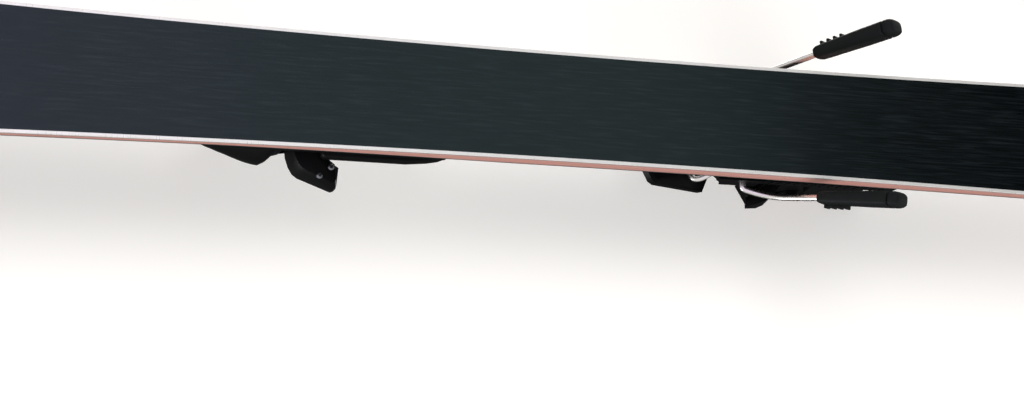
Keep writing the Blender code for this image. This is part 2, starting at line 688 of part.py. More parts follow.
def screw_hole_cutter(name, places, head_top):
    """One object holding the clearance holes of several screws."""
    points = []
    faces = []
    bottom = SKI_TOP - SCREW_DEPTH - GAP
    levels = [(bottom, SCREW_SHAFT_RADIUS + HOLE_GAP),
              (head_top - SCREW_HEAD_HEIGHT - HOLE_GAP, SCREW_SHAFT_RADIUS + HOLE_GAP),
              (head_top - 0.0008, SCREW_HEAD_RADIUS + HOLE_GAP),
              (head_top + 0.0010, SCREW_HEAD_RADIUS + HOLE_GAP)]
    n = SMALL_ROUND_SEGMENTS
    for x, y in places:
        first = len(points)
        for z, radius in levels:
            points += [(x + radius * math.cos(math.tau * s / n), y + radius * math.sin(math.tau * s / n), z)
                       for s in range(n)]
        for i in range(len(levels) - 1):
            for j in range(n):
                k = (j + 1) % n
                faces.append((first + i * n + j, first + i * n + k,
                              first + (i + 1) * n + k, first + (i + 1) * n + j))
        faces.append(tuple(first + j for j in reversed(range(n))))
        faces.append(tuple(first + (len(levels) - 1) * n + j for j in range(n)))
    return as_cutter(new_object(name, mesh_from(name, points, faces), ZINC_STEEL, (0, 0, 0)))


def make_risers():
    """Plates between the ski and the two halves of the binding."""
    spans = [("toe_riser", AFD_REAR_X + 0.0060, TOE_NOSE_X - 0.0040),
             ("heel_riser", TRACK_REAR_X + 0.0020, BOOT_HEEL_X + BRAKE_TONGUE_FRONT_AHEAD - 0.0010)]
    risers = []
    for name, rear, front in spans:
        inner = RISER_HALF_WIDTH - RISER_CHAMFER
        half = [(rear, 0.0), (rear, inner), (rear + RISER_CHAMFER, RISER_HALF_WIDTH),
                (front - RISER_CHAMFER, RISER_HALF_WIDTH), (front, inner), (front, 0.0)]
        riser = prism(name, mirrored(half), RISER_BOTTOM, RISER_TOP, BLACK_PLASTIC)
        soften(riser, 0.0010)
        risers.append(riser)
    return risers


def make_screws(ski_pieces, toe_pieces, heel_pieces):
    toe_places, heel_places = screw_places()
    toe_head = TOE_PLATE_TOP - GAP
    heel_head = RAIL_TOP - GAP
    toe_cutter = screw_hole_cutter("toe_screw_holes", toe_places, toe_head)
    heel_cutter = screw_hole_cutter("heel_screw_holes", heel_places, heel_head)
    for piece in ski_pieces + toe_pieces:
        boolean(piece, toe_cutter)
    for piece in ski_pieces + heel_pieces:
        boolean(piece, heel_cutter)
    for i, (x, y) in enumerate(toe_places, 1):
        screw_mesh_object(f"toe_screw_{i}", x, y, toe_head)
    for i, (x, y) in enumerate(heel_places, 1):
        screw_mesh_object(f"heel_screw_{i}", x, y, heel_head)


# Toe piece

def make_toe_plate():
    rear = BOOT_TOE_X - TOE_PLATE_REAR_REACH
    half = [(rear, 0.0), (rear, TOE_PLATE_HALF_WIDTH * 0.8), (rear + 0.008, TOE_PLATE_HALF_WIDTH),
            (TOE_NOSE_X - 0.029, TOE_PLATE_HALF_WIDTH), (TOE_NOSE_X - 0.012, TOE_PLATE_HALF_WIDTH * 0.82),
            (TOE_NOSE_X - 0.003, TOE_PLATE_HALF_WIDTH * 0.5), (TOE_NOSE_X, 0.0)]
    plate = prism("toe_plate", mirrored(half), SEAT, TOE_PLATE_TOP, BLACK_PLASTIC)
    soften(plate, 0.0006)
    return plate


def toe_housing_half_width(x):
    """Narrow tongues over the wings, a broad shoulder ahead of them, then a rounded nose."""
    shoulder = TOE_SHOULDER_HALF_WIDTH
    table = [(BOOT_TOE_X + TOE_HOUSING_REAR, shoulder * 0.71), (TOE_SLOT_X - 0.0040, shoulder * 0.75),
             (TOE_SLOT_X, shoulder * 0.77), (TOE_SLOT_X + 0.0040, shoulder * 0.80),
             (TOE_SLOT_X + 0.0100, shoulder * 0.97), (TOE_SLOT_X + 0.0130, shoulder),
             (TOE_NOSE_X - 0.0350, shoulder * 0.980), (TOE_NOSE_X - 0.0240, shoulder * 0.905),
             (TOE_NOSE_X - 0.0150, shoulder * 0.840), (TOE_NOSE_X - 0.0060, shoulder * 0.765),
             (TOE_NOSE_X - 0.0020, shoulder * 0.695), (TOE_NOSE_X, shoulder * 0.62)]
    return along_table(table, x)


def toe_housing_top(x):
    """Roof line, falling towards the nose but staying above the spring bore."""
    nose_top = TOE_BORE_Z + TOE_BORE_RADIUS + 0.0030
    t = smoothstep((x - TOE_SLOT_X) / (TOE_NOSE_X - TOE_SLOT_X))
    return lerp(TOE_HOUSING_TOP, nose_top, t)


def toe_stations(first, last, count):
    return [lerp(first, last, i / (count - 1)) for i in range(count)]


def toe_housing_ring(x):
    width = toe_housing_half_width(x)
    low = TOE_SEAT
    high = toe_housing_top(x)
    height = high - low
    half = [(0.86, 0.0), (0.97, 0.13), (1.0, 0.40), (0.975, 0.66), (0.90, 0.84), (0.78, 0.95), (0.62, 1.0)]
    right = [(x, -width * a, low + height * b) for a, b in half]
    left = [(x, width * a, low + height * b) for a, b in reversed(half)]
    return right + left


def make_toe_housing(hub_pins):
    rear = BOOT_TOE_X + TOE_HOUSING_REAR
    stations = toe_stations(rear, TOE_SLOT_X, 4) + toe_stations(TOE_SLOT_X, TOE_NOSE_X, 14)[1:]
    housing = loft("toe_housing", [toe_housing_ring(x) for x in stations], BLACK_PLASTIC, smooth_angle=38)
    slot = block("toe_wing_slot", (rear - 0.01, -0.06, WING_BOTTOM - GAP), (TOE_SLOT_X, 0.06, WING_TOP + GAP),
                 BLACK_PLASTIC)
    boolean(housing, slot)
    bore = turned("toe_bore", [(0.0, TOE_BORE_RADIUS), (TOE_NOSE_REACH + 0.01, TOE_BORE_RADIUS)],
                  (WING_PIN_X + WING_HUB_RADIUS, 0, TOE_BORE_Z), (1, 0, 0), BLACK_PLASTIC)
    boolean(housing, bore)
    for pin in hub_pins:
        boolean(housing, pin)
    return housing


def wing_pin_place(side):
    return Vector((WING_PIN_X, side * WING_PIN_SPACING / 2, 0.0))


def wing_pin_cutter(side):
    name = "toe_pin_hole_left" if side > 0 else "toe_pin_hole_right"
    low = wing_pin_place(side) + Vector((0, 0, WING_BOTTOM - 0.0072))
    length = WING_HEIGHT + 0.0136
    radius = WING_PIN_RADIUS + HOLE_GAP
    return as_cutter(turned(name, [(0, radius), (length, radius)], low, (0, 0, 1), ZINC_STEEL,
                            SMALL_ROUND_SEGMENTS))


def make_wing_pin(side):
    name = "toe_wing_pin_left" if side > 0 else "toe_wing_pin_right"
    low = wing_pin_place(side) + Vector((0, 0, WING_BOTTOM - 0.0068))
    length = WING_HEIGHT + 0.0128
    return turned(name, [(0, WING_PIN_RADIUS), (length, WING_PIN_RADIUS)], low, (0, 0, 1), ZINC_STEEL,
                  SMALL_ROUND_SEGMENTS)


def toe_arc(radius, first_degrees, last_degrees):
    """Points on a circle round the centre of the boot's toe rounding."""
    centre = BOOT_TOE_X - BOOT_TOE_RADIUS
    points = []
    for i in range(ARC_STEPS + 1):
        angle = math.radians(lerp(first_degrees, last_degrees, i / ARC_STEPS))
        points.append((centre + radius * math.cos(angle), radius * math.sin(angle)))
    return points


def wing_outline(reach, shorter):
    """Plan of the left wing; reach is how far its inner side comes in over the boot toe."""
    hub = wing_pin_place(1)
    hub_arc = []
    for degrees in (-125, -85, -45, -5, 35, 70):
        angle = math.radians(degrees)
        hub_arc.append((hub.x + WING_HUB_RADIUS * math.cos(angle), hub.y + WING_HUB_RADIUS * math.sin(angle)))
    outer = [(BOOT_TOE_X + 0.0104, 0.0215), (BOOT_TOE_X + 0.0098, 0.0270), (BOOT_TOE_X + 0.0078, 0.0330),
             (BOOT_TOE_X + 0.0052, 0.0372), (BOOT_TOE_X + 0.0022, 0.0394),
             (BOOT_TOE_X - 0.0188 + shorter, 0.0471 - 0.1 * shorter),
             (BOOT_TOE_X - 0.0207 + shorter, 0.0464 - 0.1 * shorter), (BOOT_TOE_X - 0.0214 + shorter, 0.0440)]
    first = 62 - math.degrees(shorter / BOOT_TOE_RADIUS)
    inner = toe_arc(BOOT_TOE_RADIUS + WING_INNER_CLEARANCE - reach, first, 17)
    return hub_arc + outer + inner


def make_wing(side):
    name = "toe_wing_left" if side > 0 else "toe_wing_right"
    pivot = wing_pin_place(side) + Vector((0, 0, WING_BOTTOM))
    low = [(x, side * y) for x, y in wing_outline(0.0, WING_FLARE)]
    wall = [(x, side * y) for x, y in wing_outline(0.0, 0.0)]
    lip = [(x, side * y) for x, y in wing_outline(WING_LIP_REACH, 0.0)]
    levels = [(low, WING_BOTTOM), (wall, TOE_LIP_BOTTOM - 0.0004), (lip, TOE_LIP_BOTTOM), (lip, WING_TOP)]
    wing = loft(name, [[(x, y, z) for x, y in outline] for outline, z in levels], BLACK_PLASTIC, pivot)
    soften(wing, 0.0010)
    boolean(wing, bpy.data.objects["toe_pin_hole_left" if side > 0 else "toe_pin_hole_right"])
    return wing


def toe_cover_ring(x, low_extra, high_extra):
    """Cover section: flat underside on the housing's roof, rounded back."""
    width = toe_housing_half_width(x) * 0.60
    low = toe_housing_top(x) + low_extra
    high = toe_housing_top(x) + high_extra
    height = high - low
    half = [(1.0, 0.0), (0.97, 0.45), (0.88, 0.80), (0.72, 1.0)]
    right = [(x, -width * a, low + height * b) for a, b in half]
    left = [(x, width * a, low + height * b) for a, b in reversed(half)]
    return right + left


def toe_window_span():
    middle = BOOT_TOE_X + TOE_WINDOW_AHEAD
    return middle - TOE_WINDOW_LENGTH / 2, middle + TOE_WINDOW_LENGTH / 2


def make_toe_cover():
    stations = toe_stations(BOOT_TOE_X + 0.0035, TOE_NOSE_X - 0.0030, 14)
    rings = [toe_cover_ring(x, GAP, GAP + TOE_COVER_THICKNESS) for x in stations]
    cover = loft("toe_cover", rings, GREY_PLASTIC, smooth_angle=38)
    rear, front = toe_window_span()
    half = TOE_WINDOW_WIDTH / 2 + GAP
    hole = block("toe_window_hole", (rear - GAP, -half, TOE_SEAT),
                 (front + GAP, half, TOE_HOUSING_TOP + 0.02), GREY_PLASTIC)
    boolean(cover, hole)
    return cover


def make_toe_window():
    rear, front = toe_window_span()
    half = TOE_WINDOW_WIDTH / 2
    rings = []
    for x in toe_stations(rear, front, 4):
        low = toe_housing_top(x) + GAP
        high = low + TOE_COVER_THICKNESS * 0.85
        rings.append([(x, -half, low), (x, half, low), (x, half * 0.8, high), (x, -half * 0.8, high)])
    return loft("toe_window", rings, CLEAR)


def make_toe_mechanism():
    bore = TOE_BORE_RADIUS - HOLE_GAP
    piston_x = WING_PIN_X + WING_HUB_RADIUS + GAP
    boss = TOE_PISTON_BOSS_RADIUS
    profile = [(0, bore), (TOE_PISTON_LENGTH, bore), (TOE_PISTON_LENGTH, boss),
               (TOE_PISTON_LENGTH + TOE_PISTON_BOSS_LENGTH, boss * 0.9)]
    piston = turned("toe_piston", profile, (piston_x, 0, TOE_BORE_Z), (1, 0, 0), ZINC_STEEL)
    soften(piston, 0.0004, 1)
    nut_x = BOOT_TOE_X + TOE_NUT_AHEAD
    turned("toe_spring_nut", [(0, bore), (TOE_NUT_LENGTH, bore)], (nut_x, 0, TOE_BORE_Z), (1, 0, 0),
           ZINC_STEEL, bore=TOE_SCREW_SHAFT_RADIUS + HOLE_GAP)
    head_front = TOE_NOSE_X - 0.0012
    head_rear = head_front - TOE_SCREW_HEAD_LENGTH
    shaft_rear = piston_x + TOE_PISTON_LENGTH + TOE_PISTON_BOSS_LENGTH + TOE_PISTON_TRAVEL + 2 * GAP
    shaft = head_rear - shaft_rear
    screw = turned("toe_value_screw",
                   [(0, TOE_SCREW_SHAFT_RADIUS), (shaft, TOE_SCREW_SHAFT_RADIUS), (shaft, bore - 0.0003),
                    (shaft + TOE_SCREW_HEAD_LENGTH - 0.0006, bore - 0.0003),
                    (shaft + TOE_SCREW_HEAD_LENGTH, bore - 0.0009)],
                   (shaft_rear, 0, TOE_BORE_Z), (1, 0, 0), ZINC_STEEL)
    slot = block("toe_screw_slot", (head_front - 0.0020, -0.012, TOE_BORE_Z - 0.0009),
                 (head_front + 0.0050, 0.012, TOE_BORE_Z + 0.0009), ZINC_STEEL)
    boolean(screw, slot)
    spring_rear = piston_x + TOE_PISTON_LENGTH + GAP
    coil_spring("toe_spring", spring_rear, nut_x - GAP, TOE_BORE_Z, TOE_SPRING_CURLS,
                bore - 0.0009 - TOE_SPRING_WIRE_RADIUS, TOE_SPRING_WIRE_RADIUS)


def coil_spring(name, rear_x, front_x, z, curls, radius, wire):
    """Compression spring along X, one unbroken wire."""
    count = curls * SPRING_POINTS_PER_CURL
    low = rear_x + wire
    high = front_x - wire
    points = []
    for i in range(count + 1):
        turn = math.tau * i / SPRING_POINTS_PER_CURL
        points.append((lerp(low, high, i / count), radius * math.cos(turn), z + radius * math.sin(turn)))
    print(name, "least gap to itself", round(((high - low) / curls - 2 * wire) * 1000, 2), "mm")
    return tube(name, points, wire, WIRE_STEEL, pivot=(low, 0, z), resolution=1)


def make_afd():
    """Low-friction plate under the boot toe: a fixed base and a plate that slides sideways on a key."""
    wide = AFD_HALF_WIDTH
    half = [(AFD_REAR_X, 0.0), (AFD_REAR_X, wide * 0.76), (AFD_REAR_X + 0.0045, wide * 0.85),
            (AFD_REAR_X + 0.0100, wide * 0.92), (AFD_REAR_X + 0.0170, wide * 0.96),
            (AFD_REAR_X + 0.0300, wide),
            (AFD_FRONT_X + AFD_EAR_LENGTH - 0.0020, wide), (AFD_FRONT_X + AFD_EAR_LENGTH, wide * 0.94),
            (AFD_FRONT_X + AFD_EAR_LENGTH, wide - AFD_EAR_WIDTH), (AFD_FRONT_X, wide - AFD_EAR_WIDTH),
            (AFD_FRONT_X, 0.0)]
    base = prism("afd_base", mirrored(half), TOE_SEAT, AFD_BASE_TOP, BLACK_PLASTIC)
    soften(base, 0.0012)
    middle = (AFD_FRONT_X + AFD_REAR_X) / 2
    reach = AFD_KEY_HALF_LENGTH + AFD_TRAVEL + GAP
    slot_floor = AFD_BASE_TOP - AFD_KEY_DEPTH - GAP
    slot = block("afd_key_slot", (middle - AFD_KEY_WIDTH / 2 - GAP, -reach, slot_floor),
                 (middle + AFD_KEY_WIDTH / 2 + GAP, reach, AFD_BASE_TOP + CUTTER_REACH), BLACK_PLASTIC)
    boolean(base, slot)
    low = AFD_BASE_TOP + GAP
    pivot = (middle, 0, low)
    rear = AFD_REAR_X + 0.0045
    front = AFD_FRONT_X - 0.0040
    outline = [(rear, -AFD_SLIDER_HALF_WIDTH * 0.85), (rear + 0.004, -AFD_SLIDER_HALF_WIDTH),
               (front - 0.004, -AFD_SLIDER_HALF_WIDTH), (front, -AFD_SLIDER_HALF_WIDTH * 0.85),
               (front, AFD_SLIDER_HALF_WIDTH * 0.85), (front - 0.004, AFD_SLIDER_HALF_WIDTH),
               (rear + 0.004, AFD_SLIDER_HALF_WIDTH), (rear, AFD_SLIDER_HALF_WIDTH * 0.85)]
    slider = prism("afd_slider", outline, low, AFD_SLIDER_TOP, WHITE_PLASTIC, pivot=pivot)
    soften(slider, 0.0008)
    key = block("afd_key", (middle - AFD_KEY_WIDTH / 2, -AFD_KEY_HALF_LENGTH, AFD_BASE_TOP - AFD_KEY_DEPTH),
                (middle + AFD_KEY_WIDTH / 2, AFD_KEY_HALF_LENGTH, low + 0.0010), WHITE_PLASTIC)
    boolean(slider, key, "UNION")
    return base


def make_toe_piece():
    plate = make_toe_plate()
    pins = [wing_pin_cutter(1), wing_pin_cutter(-1)]
    make_toe_housing(pins)
    for side in (1, -1):
        make_wing_pin(side)
        make_wing(side)
    make_toe_cover()
    make_toe_window()
    make_toe_mechanism()
    make_afd()
    return plate


# Heel piece

def make_heel_track():
    """Plate with a T-rail that the heel carriage rides on. Its rack slots reach as far as the worm does."""
    half = [(0.0, SEAT), (TRACK_HALF_WIDTH, SEAT), (TRACK_HALF_WIDTH, TRACK_PLATE_TOP),
            (RAIL_HALF_WIDTH, TRACK_PLATE_TOP), (RAIL_HALF_WIDTH, RAIL_FLANGE_BOTTOM),
            (RAIL_FLANGE_HALF_WIDTH, RAIL_FLANGE_BOTTOM), (RAIL_FLANGE_HALF_WIDTH, RAIL_TOP), (0.0, RAIL_TOP)]
    outline = half[1:-1] + [(-y, z) for y, z in reversed(half[1:-1])]
    track = prism("heel_track", outline, TRACK_REAR_X, TRACK_FRONT_X, BLACK_PLASTIC, "X")
    points = []
    faces = []
    first_slot = THREAD_REAR_X - CARRIAGE_TRAVEL_BACK
    slot_count = math.ceil((THREAD_LENGTH + CARRIAGE_TRAVEL_BACK + CARRIAGE_TRAVEL_FORWARD) / RACK_SLOT_PITCH)
    corners = ((0, 0, 0), (1, 0, 0), (1, 1, 0), (0, 1, 0), (0, 0, 1), (1, 0, 1), (1, 1, 1), (0, 1, 1))
    sides = ((0, 3, 2, 1), (4, 5, 6, 7), (0, 1, 5, 4), (1, 2, 6, 5), (2, 3, 7, 6), (3, 0, 4, 7))
    for i in range(slot_count):
        low = Vector((first_slot + i * RACK_SLOT_PITCH, -RACK_SLOT_HALF_LENGTH, RAIL_TOP - RACK_SLOT_DEPTH))
        size = Vector((RACK_SLOT_PITCH / 2, 2 * RACK_SLOT_HALF_LENGTH, 2 * RACK_SLOT_DEPTH))
        start = len(points)
        points += [low + Vector((a * size.x, b * size.y, c * size.z)) for a, b, c in corners]
        faces += [tuple(start + v for v in side) for side in sides]
    slots = new_object("rack_slots", mesh_from("rack_slots", points, faces), BLACK_PLASTIC, (0, 0, 0))
    boolean(track, slots)
    return track


def make_heel_carriage():
    """Block that wraps the rail, with two cheeks for the jaw's pin."""
    top = CARRIAGE_TOP
    low = TRACK_PLATE_TOP + GAP
    half = [(RAIL_HALF_WIDTH + GAP, low), (CARRIAGE_HALF_WIDTH, low), (CARRIAGE_HALF_WIDTH, top - 0.0060),
            (CARRIAGE_HALF_WIDTH - 0.0040, top)]
    flange = RAIL_FLANGE_HALF_WIDTH + GAP
    channel = [(flange, RAIL_TOP + GAP), (flange, RAIL_FLANGE_BOTTOM - GAP),
               (RAIL_HALF_WIDTH + GAP, RAIL_FLANGE_BOTTOM - GAP)]
    outline = channel + half + [(-y, z) for y, z in reversed(half)] + [(-y, z) for y, z in reversed(channel)]
    pivot = (CARRIAGE_FRONT_X, 0, low)
    carriage = prism("heel_carriage", outline, CARRIAGE_REAR_X, CARRIAGE_FRONT_X, BLACK_PLASTIC, "X", pivot)
    cheek_middle = JAW_PIN_X
    cheek_top = RISER_TOP + CHEEK_TOP
    for side in (1, -1):
        inner = side * (JAW_HALF_WIDTH + 2 * GAP)
        outer = side * (JAW_HALF_WIDTH + 2 * GAP + CHEEK_THICKNESS)
        profile = [(cheek_middle - CHEEK_LENGTH / 2, top - 0.003),
                   (cheek_middle + CHEEK_LENGTH / 2, top - 0.003),
                   (cheek_middle + CHEEK_LENGTH * 0.36, cheek_top - 0.0060),
                   (cheek_middle + CHEEK_LENGTH * 0.20, cheek_top),
                   (cheek_middle - CHEEK_LENGTH * 0.20, cheek_top),
                   (cheek_middle - CHEEK_LENGTH * 0.36, cheek_top - 0.0060)]
        name = "carriage_cheek_left" if side > 0 else "carriage_cheek_right"
        cheek = prism(name, profile, min(inner, outer), max(inner, outer), BLACK_PLASTIC, "Y")
        boolean(carriage, cheek, "UNION")
    radius = JAW_PIN_RADIUS + HOLE_GAP
    reach = JAW_HALF_WIDTH + CHEEK_THICKNESS + CUTTER_REACH
    pin_hole = turned("jaw_pin_hole", [(0, radius), (2 * reach, radius)], (JAW_PIN_X, -reach, JAW_PIN_Z),
                      (0, 1, 0), ZINC_STEEL, SMALL_ROUND_SEGMENTS)
    boolean(carriage, pin_hole)
    bore = PRESSURE_SCREW_RADIUS + HOLE_GAP
    screw_hole = turned("pressure_screw_hole", [(0, bore), (PRESSURE_SCREW_LENGTH + 0.0050, bore)],
                        (CARRIAGE_REAR_X - 0.004, 0, PRESSURE_SCREW_Z), (1, 0, 0), ZINC_STEEL,
                        SMALL_ROUND_SEGMENTS)
    boolean(carriage, screw_hole)
    return carriage


def make_pressure_screw():
    """Worm at the back of the carriage; its thread runs in the rack slots."""
    rear = CARRIAGE_REAR_X + PRESSURE_SCREW_INSET
    head = PRESSURE_SCREW_HEAD_LENGTH
    root = PRESSURE_SCREW_RADIUS * 0.70
    profile = [(0, PRESSURE_SCREW_RADIUS * 0.95), (head, PRESSURE_SCREW_RADIUS * 0.95)]
    for i in range(int(THREAD_LENGTH / RACK_SLOT_PITCH)):
        profile.append((head + (i + 0.25) * RACK_SLOT_PITCH, root))
        profile.append((head + (i + 0.75) * RACK_SLOT_PITCH, PRESSURE_SCREW_RADIUS))
    profile.append((PRESSURE_SCREW_LENGTH - PRESSURE_SCREW_END_LENGTH, root))
    screw = turned("heel_pressure_screw", profile, (rear, 0, PRESSURE_SCREW_Z), (1, 0, 0), ZINC_STEEL, 12)
    slot = block("pressure_screw_slot", (rear - 0.005, -0.0008, PRESSURE_SCREW_Z - 0.005),
                 (rear + 0.0016, 0.0008, PRESSURE_SCREW_Z + 0.005), ZINC_STEEL)
    boolean(screw, slot)
    return screw


def jaw_side_profile():
    """Side view of the jaw housing, running round from its lower front corner."""
    x = BOOT_HEEL_X
    z = RISER_TOP
    return [(x - 0.0025, z + 0.0390), (x - 0.0140, z + 0.0315), (x - 0.0235, z + 0.0268),
            (x - 0.0305, z + 0.0250), (x - 0.0370, z + 0.0275), (x - 0.0480, z + 0.0375),
            (x - 0.0590, z + 0.0430), (x - 0.0620, z + 0.0500), (x - 0.0600, z + 0.0620),
            (x - 0.0515, z + 0.0700), (x - 0.0325, z + 0.0745), (x - 0.0145, z + 0.0730),
            (x - 0.0050, z + 0.0680), (x - 0.0025, z + 0.0600)]


def heel_arc(radius, first_degrees, last_degrees):
    """Points on a circle round the centre of the boot's heel rounding."""
    centre = BOOT_HEEL_X + BOOT_HEEL_RADIUS
    points = []
    for i in range(ARC_STEPS + 1):
        angle = math.radians(lerp(first_degrees, last_degrees, i / ARC_STEPS))
        points.append((centre - radius * math.cos(angle), radius * math.sin(angle)))
    return points


def cup_outline(reach, mouth_ahead, flare):
    """Plan of the heel cup, a half ring round the boot heel whose mouth flares outward."""
    outer = [(x, y) for x, y in heel_arc(BOOT_HEEL_RADIUS + CUP_INNER_CLEARANCE + CUP_WALL, 0, 50)]
    mouth_x = BOOT_HEEL_X + mouth_ahead
    mouth = [(mouth_x - 0.0080, BOOT_HEEL_RADIUS - 0.0010 + flare * 0.45),
             (mouth_x, BOOT_HEEL_RADIUS - 0.0020 + flare), (mouth_x, BOOT_HEEL_RADIUS - 0.0022)]
    inner = heel_arc(BOOT_HEEL_RADIUS + CUP_INNER_CLEARANCE - reach, 55, 0)
    half = outer + mouth + inner
    other = [(x, -y) for x, y in reversed(half)][1:-1]
    return half + other


def make_heel_jaw():
    """Heel cup and spring housing in one piece, turning on the jaw pin."""
    pivot = (JAW_PIN_X, 0, JAW_PIN_Z)
    jaw = prism("heel_jaw", jaw_side_profile(), -JAW_HALF_WIDTH, JAW_HALF_WIDTH, BLACK_PLASTIC, "Y", pivot)
    soften(jaw, 0.0022)
    bottom = cup_outline(0.0, CUP_MOUTH_AHEAD, CUP_FLARE)
    wall = cup_outline(0.0, CUP_TOP_MOUTH_AHEAD, CUP_TOP_FLARE)
    lip = cup_outline(CUP_LIP_REACH, CUP_TOP_MOUTH_AHEAD, CUP_TOP_FLARE)
    levels = [(bottom, CUP_BOTTOM), (wall, CUP_LIP_BOTTOM - 0.0004), (lip, CUP_LIP_BOTTOM),
              (lip, CUP_LIP_BOTTOM + CUP_LIP_THICKNESS)]
    cup = loft("heel_cup", [[(x, y, z) for x, y in outline] for outline, z in levels], BLACK_PLASTIC)
    soften(cup, 0.0010)
    boolean(jaw, cup, "UNION")
    boolean(jaw, bpy.data.objects["jaw_pin_hole"])
    bore_front = BOOT_HEEL_X - JAW_BORE_FRONT_BEHIND
    bore = turned("jaw_bore", [(0, JAW_BORE_RADIUS), (0.08, JAW_BORE_RADIUS)], (bore_front, 0, JAW_BORE_Z),
                  (-1, 0, 0), ZINC_STEEL)
    boolean(jaw, bore)
    radius = LEVER_PIN_RADIUS + HOLE_GAP
    reach = LEVER_HALF_WIDTH + CUTTER_REACH
    hole = turned("lever_pin_hole", [(0, radius), (2 * reach, radius)], (LEVER_PIN_X, -reach, LEVER_PIN_Z),
                  (0, 1, 0), ZINC_STEEL, SMALL_ROUND_SEGMENTS)
    boolean(jaw, hole)
    return jaw


def make_jaw_mechanism():
    bore = JAW_BORE_RADIUS - HOLE_GAP
    front = BOOT_HEEL_X - JAW_BORE_FRONT_BEHIND - GAP
    turned("heel_piston",
           [(0, bore), (HEEL_PISTON_LENGTH, bore), (HEEL_PISTON_LENGTH, HEEL_PISTON_BOSS_RADIUS),
            (HEEL_PISTON_LENGTH + HEEL_PISTON_BOSS_LENGTH, HEEL_PISTON_BOSS_RADIUS * 0.9)],
           (front, 0, JAW_BORE_Z), (-1, 0, 0), ZINC_STEEL)
    rear = BOOT_HEEL_X - HEEL_SCREW_HEAD_BEHIND
    head_front = rear + HEEL_SCREW_HEAD_LENGTH
    nut_front = head_front + HEEL_NUT_FROM_HEAD + HEEL_NUT_LENGTH
    turned("heel_spring_nut", [(0, bore), (HEEL_NUT_LENGTH, bore)], (nut_front, 0, JAW_BORE_Z), (-1, 0, 0),
           ZINC_STEEL, bore=HEEL_SCREW_SHAFT_RADIUS + HOLE_GAP)
    shaft_front = front - HEEL_PISTON_LENGTH - HEEL_PISTON_BOSS_LENGTH - HEEL_PISTON_TRAVEL - 2 * GAP
    shaft = shaft_front - head_front
    screw = turned("heel_value_screw",
                   [(0, HEEL_SCREW_SHAFT_RADIUS), (shaft, HEEL_SCREW_SHAFT_RADIUS), (shaft, bore - 0.0003),
                    (shaft + HEEL_SCREW_HEAD_LENGTH - 0.0006, bore - 0.0003),
                    (shaft + HEEL_SCREW_HEAD_LENGTH, bore - 0.0009)],
                   (shaft_front, 0, JAW_BORE_Z), (-1, 0, 0), ZINC_STEEL)
    slot = block("heel_screw_slot", (rear - 0.005, -0.012, JAW_BORE_Z - 0.0009),
                 (rear + 0.0020, 0.012, JAW_BORE_Z + 0.0009), ZINC_STEEL)
    boolean(screw, slot)
    coil_spring("heel_spring", nut_front + GAP, front - HEEL_PISTON_LENGTH - GAP, JAW_BORE_Z,
                HEEL_SPRING_CURLS, bore - 0.0008 - HEEL_SPRING_WIRE_RADIUS, HEEL_SPRING_WIRE_RADIUS)
    half = JAW_HALF_WIDTH + 2 * GAP + CHEEK_THICKNESS - 0.0004
    turned("heel_jaw_pin", [(0, JAW_PIN_RADIUS), (2 * half, JAW_PIN_RADIUS)], (JAW_PIN_X, -half, JAW_PIN_Z),
           (0, 1, 0), ZINC_STEEL, SMALL_ROUND_SEGMENTS)
    half = LEVER_HALF_WIDTH - 0.0004
    turned("heel_lever_pin", [(0, LEVER_PIN_RADIUS), (2 * half, LEVER_PIN_RADIUS)],
           (LEVER_PIN_X, -half, LEVER_PIN_Z), (0, 1, 0), ZINC_STEEL, SMALL_ROUND_SEGMENTS)


def make_heel_lever():
    """Opening lever: a plate over the jaw with an ear on each side, and a dimple for the pole tip."""
    pivot = (LEVER_PIN_X, 0, LEVER_PIN_Z)
    rise = math.tan(LEVER_RISE)
    front_x = LEVER_PIN_X + 0.0120
    rear_x = front_x - LEVER_LENGTH
    under = LEVER_PIN_Z + 0.0085

    def under_height(x):
        return under + max(0.0, (LEVER_PIN_X - x)) * rise
    side = [(front_x, under_height(front_x)), (LEVER_PIN_X, under_height(LEVER_PIN_X)),
            (rear_x + 0.006, under_height(rear_x + 0.006)), (rear_x, under_height(rear_x) + 0.0040),
            (rear_x + 0.002, under_height(rear_x) + LEVER_THICKNESS + 0.0020),
            (LEVER_PIN_X, under_height(LEVER_PIN_X) + LEVER_THICKNESS),
            (front_x, under_height(front_x) + LEVER_THICKNESS - 0.0015)]
    lever = prism("heel_lever", side, -LEVER_HALF_WIDTH, LEVER_HALF_WIDTH, BLACK_PLASTIC, "Y", pivot)
    taper_lever(lever, front_x, rear_x)
    soften(lever, 0.0014)
    inner = JAW_HALF_WIDTH + GAP
    for sign in (1, -1):
        name = "lever_ear_left" if sign > 0 else "lever_ear_right"
        ear_outline = [(LEVER_PIN_X + 0.0070, under + 0.0020), (LEVER_PIN_X - 0.0110, under + 0.0030)]
        for i in range(7):
            angle = math.radians(200 + i * 150 / 6)
            ear_outline.append((LEVER_PIN_X + LEVER_EAR_RADIUS * math.cos(angle),
                                LEVER_PIN_Z + LEVER_EAR_RADIUS * math.sin(angle)))
        low, high = sorted((sign * inner, sign * LEVER_HALF_WIDTH))
        ear = prism(name, ear_outline, low, high, BLACK_PLASTIC, "Y")
        boolean(lever, ear, "UNION")
    boolean(lever, bpy.data.objects["lever_pin_hole"])
    dimple_x = rear_x + 0.0200
    dimple_top = under_height(dimple_x) + LEVER_THICKNESS + 0.0040
    dimple = turned("pole_dimple", [(0, 0.0075), (0.0058, 0.0052)], (dimple_x, 0, dimple_top),
                    (-math.sin(LEVER_RISE), 0, -math.cos(LEVER_RISE)), BLACK_PLASTIC, SMALL_ROUND_SEGMENTS)
    boolean(lever, dimple)
    return lever


